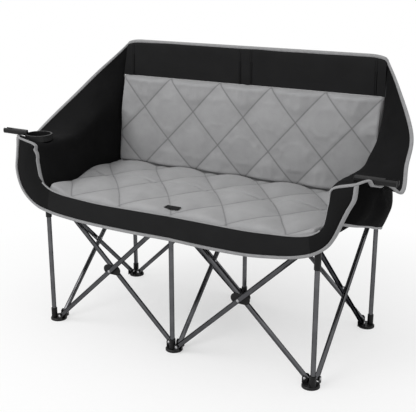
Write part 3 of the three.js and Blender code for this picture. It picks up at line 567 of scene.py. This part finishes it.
def quilted(name, grid, direction, phase, puff, back_grid, cut_rows=None, flap=None, first_row=0):
    """A quilted pad between a stitched face and a plain one, in one piece or cut at a row."""
    rows, cols = grid.shape[:2]
    r, c = np.meshgrid(np.arange(rows), np.arange(cols), indexing="ij")
    turn = 2 * CELLS
    one = (c + r - first_row + phase) / turn
    two = (c - r + first_row + phase) / turn
    stitch = np.stack([one, two], axis=2)
    on_line = (one % 1 == 0) | (two % 1 == 0)
    border = (r == 0) | (r == rows - 1) | (c == 0) | (c == cols - 1)
    pillow = np.where(border, 0, np.abs(np.sin(math.pi * one) * np.sin(math.pi * two)) ** PILLOW_POWER)
    face = grid + (puff * pillow)[..., None] * direction
    start = grid + (SIM_START * puff * pillow)[..., None] * direction
    blown = inflate(grid, start, direction, (on_line | border).ravel(), puff)
    face = (1 - SIM_SHARE) * face + SIM_SHARE * blown
    parts = [(0, rows - 1)] if cut_rows is None else [(0, cut_rows), (cut_rows, rows - 1)]
    made = []
    for k, (first, last) in enumerate(parts):
        build = Build()
        keep = slice(first, last + 1)
        build.add_sheet(face[keep], back_grid[keep], 0, stitch[keep])
        if flap is not None:
            build.add_sheet(*flap)
        part = name if cut_rows is None else f"{name}_{'front' if k == 0 else 'rear'}"
        made.append(build.make(part, [QUILT]))
    return made


def crown(share):
    return 1 - (2 * share - 1) ** 4


def shoulder(share, width):
    """Quarter-round rise at both ends of a share from 0 to 1."""
    near = np.clip(np.minimum(share, 1 - share) / width, 0, 1)
    return np.sqrt(1 - (1 - near) ** 2)


def make_seat():
    front, rear = FRONT_FACE + 0.4, POST_FACE - 2.7
    along = np.linspace(0, 1, SEAT_ROWS)
    across = np.linspace(0, 1, QUILT_COLS)
    y = front + (rear - front) * along
    left = np.array([-seat_half(v, -1) for v in y])[:, None]
    right = np.array([seat_half(v, 1) for v in y])[:, None]
    x = left + (right - left) * across[None, :]
    lift = SEAT_BASE + SEAT_CROWN * crown(across)[None, :] * crown(along)[:, None]
    rim = np.exp(-(np.minimum(x - left, right - x) / RIM_REACH) ** 2)
    lift = lift + rim * (RIM_FRONT_RISE * np.exp(-((y - front) / RIM_FRONT_REACH) ** 2) + RIM_RISE)[:, None]
    edge = np.minimum(shoulder(along, 0.03)[:, None], shoulder(across, 0.012)[None, :])
    yy = np.repeat(y[:, None], QUILT_COLS, 1)
    top = np.stack([x, yy, SEAT_LOW + SEAT_EDGE + (lift - SEAT_EDGE) * edge], axis=2)
    low = np.stack([x, yy, np.full_like(x, SEAT_LOW)], axis=2)
    cut = round(SEAT_CUT * (SEAT_ROWS - 1))
    pads = quilted("seat_pad", top, np.array([0, 0, 1.0]), CELLS, SEAT_PUFF, low, cut, first_row=1)
    for pad, body in zip(pads, ("seat_front_half", "seat_rear_half")):
        smooth_mesh(pad)
        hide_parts(body)
        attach(pad, body)
        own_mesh(pad)
    make_patch(pads[0])


def make_patch(pad):
    """Bare woven patch sewn flat on the front of the seat."""
    mesh = pad.data
    tree = BVHTree.FromPolygons([v.co for v in mesh.vertices], [p.vertices[:] for p in mesh.polygons])
    corner, wide, deep = np.array(PATCH_CORNER), np.array(PATCH_WIDE), np.array(PATCH_DEEP)
    rows, cols = PATCH_GRID
    grid = np.zeros((rows, cols, 3))
    for i, j in np.ndindex(rows, cols):
        spot = corner + wide * j / (cols - 1) + deep * i / (rows - 1)
        hit = tree.ray_cast(Vector((*(spot * MM), 1.0)), Vector((0, 0, -1)))[0]
        grid[i, j] = (*spot, hit.z / MM + 0.3)
    for _ in range(2):
        grid[1:-1, :, 2] = (grid[:-2, :, 2] + 2 * grid[1:-1, :, 2] + grid[2:, :, 2]) / 4
        grid[:, 1:-1, 2] = (grid[:, :-2, 2] + 2 * grid[:, 1:-1, 2] + grid[:, 2:, 2]) / 4
    slope = np.column_stack([grid[..., 0].ravel(), grid[..., 1].ravel(), np.ones(grid[..., 2].size)])
    level = (slope @ np.linalg.lstsq(slope, grid[..., 2].ravel(), rcond=None)[0]).reshape(grid.shape[:2])
    flatter = PATCH_FLAT * level + (1 - PATCH_FLAT) * grid[..., 2]
    grid[..., 2] = flatter + (grid[..., 2] - flatter).max()
    build = Build()
    build.add_sheet(grid, grid + np.array([0, 0, 1.3]))
    hem = np.vstack([grid[0], grid[1:, -1], grid[-1, -2::-1], grid[-2::-1, 0]])
    inward = grid[rows // 2, cols // 2] - hem
    upward = np.tile([0, 0, 1.0], (len(hem), 1))
    build.add_tape(hem + np.array([0, 0, 0.8]), inward, upward, 0, PATCH_HEM, 1.9, False)
    obj = build.make("seat_patch", [BLACK])
    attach(obj, "seat_front_half")
    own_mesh(obj)


def make_back():
    down = np.linspace(0, 1, 3 * CELLS + 1)
    across = np.linspace(0, 1, QUILT_COLS)
    z = SEAT_LOW + BACK_TOP + (BACK_FOOT - BACK_TOP) * down
    x = (2 * across - 1) * BACK_HALF
    rear = POST_FACE - 0.4
    deep = BACK_BASE + BACK_CROWN * crown(across)[None, :] * crown(down)[:, None]
    edge = np.minimum(shoulder(down, 0.03)[:, None], shoulder(across, 0.01)[None, :])
    deep = BACK_EDGE + (deep - BACK_EDGE) * edge
    xx, zz = np.meshgrid(x, z)
    xx = xx - splay(rear, zz) * np.clip(-xx / BACK_HALF, 0, 1) ** 2
    face = np.stack([xx, rear - deep, zz], axis=2)
    low = np.stack([xx, np.full_like(xx, rear), zz], axis=2)
    # The cover runs on below the pad, behind the seat
    tail = np.array([[(v, rear - 0.2, SEAT_LOW + h) for v in xx[-1]] for h in FLAP_HEIGHTS])
    flap = (tail + np.array([0, -FLAP_THICK, 0]), tail)
    pad = quilted("back_pad", face, np.array([0, -1.0, 0]), 0, BACK_PUFF, low, None, flap)[0]
    smooth_mesh(pad)
    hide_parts("back_quilt")
    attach(pad, "leg_rear_centre")
    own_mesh(pad)


def make_band():
    """Top band of the back: a strip over the post ends, with seams beside the posts and a bound top edge."""
    front = POST_FACE - 0.4
    rear = POST_FACE + 15.4
    low, top = SEAT_LOW + BAND_LOW, SEAT_LOW + BAND_TOP
    line = [(front - 4.5, low), (front - 5.2, low + 30), (front - 5.4, low + 60), (front - 5.2, top - 14),
            (front - 3.5, top - 5), (front + 3, top - 1), (front + 9, top), (rear - 3, top - 1),
            (rear + 2.6, top - 6), (rear + 3.6, top - 16), (rear + 3.6, top - 40),
            (rear + 3.4, SEAT_LOW + BAND_POCKET)]
    outer = even_line([(0, y, z) for y, z in line], BAND_ROWS)
    steps = (-9, -6, -4.5, -3.5, -2.5, -1.5, 0, 1.5, 2.5, 3.5, 4.5, 6, 9)
    near = [s + d for s in BAND_SEAMS for d in steps]
    plain = np.linspace(-BACK_HALF, BACK_HALF, 161)
    far = [v for v in plain if min(abs(v - s) for s in BAND_SEAMS) > 11]
    xs = np.array(sorted(near + far))
    grid = np.repeat(outer[:, None, :], len(xs), 1)
    grid[..., 0] = xs[None, :]
    n = grid_normals(grid)
    # Slack between the seams; each seam has two tight lines and a raised fold between them
    dip = sum(np.exp(-((xs - s - d) / 1.2) ** 2) for s in BAND_SEAMS for d in (-3, 3))
    fold = sum(np.exp(-((xs - s) / 1.6) ** 2) for s in BAND_SEAMS)
    slack = rumple(grid * np.array([0.5, 1, 0.6]), 55, 3) * 2.4 + rumple(grid, 150, 5) * 2.0
    row = np.arange(BAND_ROWS)
    fade = np.minimum(1, np.minimum(row, row[::-1]) / 5)[:, None]
    toward = np.where(n[..., 1:2] * (grid[..., 1:2] - (front + rear) / 2) < 0, -1, 1)
    out = n * toward
    grid = grid + out * (fade * (slack + 1.0 * fold[None, :] - 1.5 * dip[None, :]))[..., None]
    reach, fall = BAND_CORNER
    past = np.clip((np.abs(xs) - BACK_HALF + reach) / reach, 0, 1)
    drop = fall * (1 - np.sqrt(1 - past ** 2))
    grid[..., 2] = low + (grid[..., 2] - low) * (1 - drop / (top - low))[None, :]
    grid[..., 0] -= splay(rear, grid[..., 2]) * np.clip(-xs / BACK_HALF, 0, 1) ** BAND_END_POWER
    build = Build()
    build.add_sheet(grid, grid - out * 3.0)
    ridge = np.stack([xs, np.full_like(xs, front + 6.0), top - 1.5 - drop], axis=1)
    ones = np.ones((len(xs), 1))
    build.add_tape(ridge, ones * np.array([0, 0, -1.0]), ones * np.array([0, 1.0, 0]), 1, 12.0, 15.0)
    for seam in BAND_SEAMS:
        for d in (-2.5, 2.5):
            column = int(np.argmin(np.abs(xs - seam - d)))
            lifted = out[:SEAM_ROWS, column]
            sideways = np.tile([1.0, 0, 0], (SEAM_ROWS, 1))
            build.add_tape(grid[:SEAM_ROWS, column] + lifted * 0.35, sideways, lifted, 2, 1.7, 0.9)
    obj = build.make("back_band_cloth", [BLACK, TAPE, SEAM])
    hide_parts("back_top_band")
    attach(obj, "leg_rear_centre")
    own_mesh(obj)


KINKS = ((5, 147, 7), (-4, 126, 11), (-5, 165, 8))  # out, height and reach
LIFTS = ((13, -0.04, 0.11, 0.108, 0.138), (9, 0.2, 0.24, 0.3, 0.42))  # rise, then shares of the depth


def jog(z):
    """Sideways kink of the left arm's inner edge, out from the middle."""
    return sum(out * np.exp(-((z - SEAT_LOW - height) / reach) ** 2) for out, height, reach in KINKS)


def raised(t, g):
    """The right wing's edge is pressed down under the bar and stands up beside it."""
    lift = sum(rise * eased(t, a, b) * (1 - eased(t, c, d)) for rise, a, b, c, d in LIFTS)
    return lift * np.exp(-((1 - g) / 0.12) ** 2)


def cut_ring(obj, hand):
    """Cuts the round opening for the cup ring."""
    cutter = bpy.data.objects.new("cutter", bpy.data.meshes.new("cutter"))
    work = bmesh.new()
    x, y, radius = (v * MM for v in RING)
    bmesh.ops.create_cone(work, cap_ends=True, segments=48, radius1=radius, radius2=radius, depth=0.2,
                          matrix=Matrix.Translation((hand * x, y, 0.63)))
    work.to_mesh(cutter.data)
    work.free()
    scene.collection.objects.link(cutter)
    mod = obj.modifiers.new("ring", "BOOLEAN")
    mod.operation, mod.solver, mod.object = "DIFFERENCE", "EXACT", cutter
    apply_modifiers(obj)
    bpy.data.objects.remove(cutter)


def make_wing(side, hand):
    lengths = np.r_[0, 0.006, 0.014, np.linspace(0.025, 1, 88)]
    girths = np.linspace(0, 1, 57)
    grid = wing_grid(lengths, girths)
    out = grid_normals(grid)
    middle = np.array([0.0, 0.0, SEAT_LOW + 150])
    flip = np.sign((out * (grid - middle)).sum(axis=2).mean())
    out = out * flip
    g, t = np.meshgrid(girths, lengths)
    fade = np.clip(np.minimum(np.minimum(t, 1 - t) / 0.1, np.minimum(g, 1 - g) / 0.12), 0, 1)
    lean = grid.copy()
    lean[..., 2] = grid[..., 2] * 0.45 + grid[..., 1] * 0.35
    creases = rumple(lean, 60, 11) * 3.4 + rumple(grid, 140, 13) * 4.0 + rumple(lean, 26, 17) * 0.9
    clear = 0.8 * np.clip((1 - t) / 0.06, 0, 1) * np.clip(g / 0.1, 0, 1)
    inner = grid + out * (clear + creases * fade)[..., None]
    if hand < 0:
        inner[..., 0] += splay(inner[..., 1], inner[..., 2])
        inner[..., 0] += np.where(g < 0.85, jog(grid[..., 2]), 0) * np.exp(-(t / 0.04) ** 2)
    else:
        inner[..., 2] += raised(t, g)
    # The foot runs on down beside the seat
    inner = np.concatenate([inner[:, :1] - np.array([0, 0, WING_FOOT]), inner], axis=1)
    out = np.concatenate([out[:, :1], out], axis=1)
    build = Build()
    build.add_sheet(inner, inner + out * WING_THICK)
    obj = build.make(f"wing_cloth_{side}", [DEEP, TAPE], hand)
    if hand < 0:
        cut_ring(obj, hand)
    # One binding runs up the front edge, over the arm and along the outer edge to the top of the back
    first = int(np.argmax(inner[0, :, 2] > SEAT_LOW + 34))
    front = inner[0, first:-1] + out[0, first:-1] * 1.2
    outer = inner[1:, -1] + out[1:, -1] * 1.6
    inward = np.vstack([inner[4, first:-1] - inner[0, first:-1], inner[1:, -4] - inner[1:, -1]])
    inward /= np.linalg.norm(inward, axis=1, keepdims=True)
    normal = np.vstack([out[0, first:-1], out[1:, -1]])
    for _ in range(3):
        inward[1:-1] = (inward[:-2] + 2 * inward[1:-1] + inward[2:]) / 4
        normal[1:-1] = (normal[:-2] + 2 * normal[1:-1] + normal[2:]) / 4
    inward /= np.linalg.norm(inward, axis=1, keepdims=True)
    binding = Build()
    width = np.r_[np.full(len(front), 13.0), np.linspace(13.0, 10.0, len(outer))]
    binding.add_tape(np.vstack([front, outer]) - 1.2 * inward, inward, normal, 1, width, 6.6)
    join(obj, binding.make("binding", [DEEP, TAPE], hand))
    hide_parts(f"wing_{side}")
    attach(obj, f"bracket_front_{side}")
    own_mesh(obj)


def make_panel(side, hand):
    """Outer side of an arm, hung from the underside of its wing, with a bound hem."""
    lengths = np.linspace(0, 1, PANEL_ROWS)
    girths = PANEL_START[0] + (PANEL_START[1] - PANEL_START[0]) * lengths ** 2
    near = np.array([wing_grid([t], [g - 0.01, g, g + 0.01])[0] for t, g in zip(lengths, girths)])
    run = near[:, 2] - near[:, 0]
    out = np.stack([run[:, 2], 0 * run[:, 0], -run[:, 0]], axis=1)
    out /= np.linalg.norm(out, axis=1, keepdims=True)
    top = near[:, 1] + out * 5.0
    top[:, 2] += (raised(lengths, girths) if hand > 0 else 0) - 1
    hem_points = smooth_line([(WALL_X + x, depth_at(s), SEAT_LOW + z) for s, x, z in PANEL_HEM], 121)
    hem = np.stack([np.interp(top[:, 1], hem_points[:, 1], hem_points[:, k]) for k in range(3)], axis=1)
    drop = np.linspace(0, 1, 31)
    grid = top[:, None] + (hem - top)[:, None] * drop[None, :, None]
    grid[..., 0] += PANEL_BULGE * np.sin(math.pi * drop)[None, :] * np.sin(math.pi * lengths)[:, None] + 1
    fade = np.clip(drop / 0.15, 0, 1)[None, :] * np.clip(lengths / 0.08, 0, 1)[:, None]
    lean = grid.copy()
    lean[..., 2] = grid[..., 2] * 0.5 - grid[..., 1] * 0.3
    if hand < 0:
        grid[..., 0] += splay(grid[..., 1], grid[..., 2])
    # Its front edge is sewn behind the hem of the arm front
    hem_line = smooth_line(HEM_LEFT if hand < 0 else HEM_RIGHT, 301)[120:]
    sewn = np.interp(grid[..., 2] - SEAT_LOW, hem_line[:, 1], hem_line[:, 0]) - 5
    pull = np.clip(1 - lengths / 0.16, 0, 1)[:, None] ** 2
    grid[..., 0] += (np.minimum(sewn, grid[..., 0]) - grid[..., 0]) * pull
    grid[..., 0] += fade * (rumple(lean, 70, 23) * 4.0 + rumple(grid, 30, 29) * 1.0)
    build = Build()
    thick = np.array([PANEL_THICK, 0, 0])
    build.add_sheet(grid, grid + thick)
    outward = np.tile([1.0, 0, 0], (PANEL_ROWS, 1))
    build.add_tape(grid[:, -1] + thick / 2, grid[:, -2] - grid[:, -1], outward, 1, 9.0, 5.4)
    obj = build.make(f"side_cloth_{side}", [SHADE, TAPE], hand)
    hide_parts(f"side_panel_{side}")
    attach(obj, f"bracket_front_{side}")
    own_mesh(obj)


# Valance and arm fronts are cut from one front surface
def front_grid(places, rows):
    """Points of the front cloth, hem last, at places counted along the points of its two edges."""
    last = len(FRONT_INNER) - 1
    share = np.linspace(0, 1, rows)
    sides = np.sign(places) + (places == 0)
    mirror = np.stack([sides, 0 * sides + 1], 1)
    inner = np.array([curve_point(FRONT_INNER, abs(u) / last) for u in places]) * mirror
    hems = [HEM_LEFT if u < 0 else HEM_RIGHT for u in places]
    outer = np.array([curve_point(hem, abs(u) / last) for hem, u in zip(hems, places)]) * mirror
    flat = inner[None] + (outer - inner)[None] * share[:, None, None]
    z = flat[..., 1] + SEAT_LOW
    lean = eased(np.abs(places), FRONT_CUT + 1, FRONT_CUT + 3) * (1 - share[:, None])
    x = flat[..., 0] + 4 * sides * lean
    x = x + np.where(places < -FRONT_CUT, sides * jog(z), 0) * (1 - share[:, None]) ** 2
    arm = np.clip((np.abs(places) - FRONT_CUT + 1) / 4, 0, 1)
    round_off = np.sin(math.pi * share)[:, None]
    left = last - np.abs(places)  # to the top of the arm
    fade = np.clip(np.minimum(share, 1 - share) / 0.2, 0, 1)[:, None] * np.clip(left / 1.5, 0, 1)
    grid = np.stack([x, np.zeros_like(x), z], axis=2)
    slack = rumple(grid * np.array([0.5, 1, 1]), 42, 31) * (1.5 + arm)[None, :]
    flush = np.sqrt(np.clip(left / 1.2, 0, 1))
    bulge = ((3.0 + 3.0 * arm) * flush)[None, :] * round_off
    grid[..., 1] = FRONT_FACE - 0.7 - bulge - fade * (1.2 + slack)
    return grid


def front_piece(name, places, cloth):
    grid = front_grid(places, 17)
    build = Build()
    build.add_sheet(grid, grid + np.array([0, -2.4, 0]))
    ahead = np.tile([0, 1.0, 0], (len(places), 1))
    arm = np.clip((np.abs(places) - FRONT_CUT - 3) / 4, 0, 1)
    hem = grid[-1] + np.array([0, -2.2, 0])
    build.add_tape(hem, grid[-3] - grid[-1], ahead, 1, 10.5 + arm, 9.4 + 2.4 * arm)
    low = np.abs(places) < FRONT_CUT + 2
    edge = grid[0, low] + np.array([0, -1.6, 0.6])
    build.add_tape(edge, (grid[2] - grid[0])[low], ahead[low], 1, 4.6, 4.4)
    return build.make(name, [cloth, TAPE])


def make_valance():
    obj = front_piece("valance_cloth", np.linspace(-FRONT_CUT, FRONT_CUT, 201), BLACK)
    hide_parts("front_valance")
    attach(obj, "bracket_front_centre")
    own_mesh(obj)


def make_arm(side, hand):
    places = hand * np.linspace(FRONT_CUT, len(FRONT_INNER) - 1, 91)
    obj = front_piece(f"arm_cloth_{side}", places, ARM)
    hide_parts(f"arm_front_{side}")
    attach(obj, f"bracket_front_{side}")


# Small fasteners: rivet heads on the plates of the feet and brackets
COLUMNS = {"left": -1, "centre": 0, "right": 1}
ROWS = {"front": -1, "rear": 1}
PAIRS = [("front_left", "front_centre"), ("front_centre", "front_right"), ("rear_left", "rear_centre"),
         ("rear_centre", "rear_right"), ("front_left", "rear_left"), ("front_centre", "rear_centre"),
         ("front_right", "rear_right")]


RIVET_RINGS = ((4.6, 0.0), (4.6, 0.5), (4.1, 1.3), (2.9, 1.9), (1.4, 2.2))  # radius and height
RIVET_SIDES = 16


def station(name):
    row, column = name.split("_")
    return np.array([COLUMNS[column] * BAY, ROWS[row] * DEPTH / 2, 0.0])


def brace_pins(low, high):
    along = station(high) - station(low)
    along /= np.linalg.norm(along)
    side = -np.cross([0, 0, 1.0], along)
    foot = station(low) + along * PIN_IN + side * LANE + np.array([0, 0, PIN_LOW])
    top = station(high) - along * PIN_IN + side * LANE + np.array([0, 0, PIN_HIGH])
    return foot, top, side


def rivet_heads(name, spots, body):
    work = bmesh.new()
    for middle, axis in spots:
        turn = Vector((0, 0, 1)).rotation_difference(Vector(axis)).to_matrix().to_4x4()
        place = Matrix.Translation(Vector(middle) * MM) @ turn
        rings = []
        for radius, height in RIVET_RINGS:
            circle = [Vector((radius * math.cos(a), radius * math.sin(a), height)) * MM
                      for a in np.linspace(0, 2 * math.pi, RIVET_SIDES, endpoint=False)]
            rings.append([work.verts.new(place @ point) for point in circle])
        for lower, upper in zip(rings, rings[1:]):
            for k in range(RIVET_SIDES):
                n = (k + 1) % RIVET_SIDES
                work.faces.new((lower[k], lower[n], upper[n], upper[k]))
        work.faces.new(rings[-1])
        work.faces.new(rings[0][::-1])
    mesh = bpy.data.meshes.new(name)
    work.to_mesh(mesh)
    work.free()
    for poly in mesh.polygons:
        poly.use_smooth = len(poly.vertices) == 4
    mesh.materials.append(PLATED)
    obj = bpy.data.objects.new(name, mesh)
    scene.collection.objects.link(obj)
    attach(obj, body)


def make_fasteners():
    feet, brackets = {}, {}
    for a, b in PAIRS:
        for low, high in ((a, b), (b, a)):
            foot, top, side = brace_pins(low, high)
            for hand in (1, -1):
                feet.setdefault(low, []).append((foot + side * hand * CHEEK_OUT, side * hand))
                brackets.setdefault(high, []).append((top + side * hand * CHEEK_OUT, side * hand))
    for name in feet:
        rivet_heads(f"foot_rivets_{name}", feet[name], f"leg_{name}")
        rivet_heads(f"bracket_rivets_{name}", brackets[name], f"bracket_{name}")


def dress_frame():
    for name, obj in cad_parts.items():
        look = PLASTIC
        if name.startswith(("brace", "post", "inner", "arm_tube")):
            look = STEEL
        elif name.startswith("rivet"):
            look = PLATED
        obj.data.materials.clear()
        obj.data.materials.append(look)


# Stage, in metres
LAMPS = (
    ("key", (-1.6, -2.6, 3.2), (0, 0, 0.5), 2.2, 74),
    ("fill", (2.8, -1.6, 2.0), (0, 0, 0.5), 2.4, 5),
    ("top", (0.2, 0.6, 3.4), (0, 0, 0.4), 2.6, 12),
    ("glint_left", (-1.9, -2.9, 1.5), (0, 0, 0.3), 0.4, 5),
    ("glint_right", (2.9, -1.9, 1.1), (0, 0, 0.3), 0.4, 5),
)
WORLD_LIGHT = 0.58  # the white surround is seen at 1 and lights the part with this
PAPER_START, PAPER_RUN = -0.8, 2.1  # the floor blends into the surround over this distance
CAMERA_AIM, CAMERA_AWAY = (-0.0114, 0, 0.4041), 2.667
CAMERA_TURN, CAMERA_TILT = math.radians(30.06), math.radians(17.10)
CAMERA_SENSOR, CAMERA_LENS = 36, 71.9


def looked_at(tree):
    """One for rays that look at a surface, straight or by reflection, and zero for those that light it."""
    path = add(tree, "ShaderNodeLightPath").outputs
    seen = maths(tree, "MAXIMUM", path["Is Camera Ray"], path["Is Glossy Ray"])
    return maths(tree, "MAXIMUM", seen, path["Is Transmission Ray"])


def make_floor():
    mesh = bpy.data.meshes.new("floor")
    mesh.from_pydata([(-9, -9, 0), (9, -9, 0), (9, 9, 0), (-9, 9, 0)], [], [(0, 1, 2, 3)])
    floor = bpy.data.objects.new("floor", mesh)
    scene.collection.objects.link(floor)
    mat, tree, shader = new_material("floor_paper")
    coords = add(tree, "ShaderNodeTexCoord").outputs["Object"]
    speckle = textured(tree, coords, 40.0, 2.0)
    colour = mixed(tree, speckle, (0.93, 0.93, 0.93), (0.96, 0.96, 0.96))
    tree.links.new(colour, shader.inputs["Base Color"])
    shader.inputs["Roughness"].default_value = 0.9
    shader.inputs["Specular IOR Level"].default_value = 0.1
    away = add(tree, "ShaderNodeVectorMath", operation="LENGTH")
    tree.links.new(coords, away.inputs[0])
    far = maths(tree, "SUBTRACT", away.outputs["Value"], PAPER_START)
    far = maths(tree, "DIVIDE", far, PAPER_RUN, clamp=True)
    glow = add(tree, "ShaderNodeEmission")
    glow.inputs["Color"].default_value = (1, 1, 1, 1)
    blend = add(tree, "ShaderNodeMixShader")
    tree.links.new(maths(tree, "MULTIPLY", far, looked_at(tree)), blend.inputs[0])
    tree.links.new(shader.outputs[0], blend.inputs[1])
    tree.links.new(glow.outputs[0], blend.inputs[2])
    tree.links.new(blend.outputs[0], tree.nodes["Material Output"].inputs["Surface"])
    mesh.materials.append(mat)


def make_light():
    world = bpy.data.worlds.new("studio")
    world.use_nodes = True
    scene.world = world
    tree = world.node_tree
    ground = tree.nodes["Background"]
    ground.inputs["Color"].default_value = (1, 1, 1, 1)
    extra = maths(tree, "MULTIPLY", looked_at(tree), 1 - WORLD_LIGHT)
    tree.links.new(maths(tree, "ADD", extra, WORLD_LIGHT), ground.inputs["Strength"])
    for name, place, target, size, power in LAMPS:
        lamp = bpy.data.lights.new(name, "AREA")
        lamp.size = size
        lamp.energy = power
        obj = bpy.data.objects.new(name, lamp)
        obj.location = place
        obj.rotation_euler = (Vector(target) - Vector(place)).to_track_quat("-Z", "Y").to_euler()
        scene.collection.objects.link(obj)


def make_camera():
    camera = bpy.data.cameras.new("camera")
    camera.sensor_width = CAMERA_SENSOR
    camera.lens = CAMERA_LENS
    obj = bpy.data.objects.new("camera", camera)
    level = math.cos(CAMERA_TILT)
    back = Vector((math.sin(CAMERA_TURN) * level, -math.cos(CAMERA_TURN) * level, math.sin(CAMERA_TILT)))
    obj.location = Vector(CAMERA_AIM) + back * CAMERA_AWAY
    obj.rotation_euler = (-back).to_track_quat("-Z", "Y").to_euler()
    scene.collection.objects.link(obj)
    scene.camera = obj
    scene.view_settings.view_transform = "Standard"


make_floor()
make_light()
make_camera()
dress_frame()
make_seat()
make_back()
make_band()
make_valance()
for side, hand in (("left", -1), ("right", 1)):
    make_wing(side, hand)
    make_panel(side, hand)
    make_arm(side, hand)
make_fasteners()
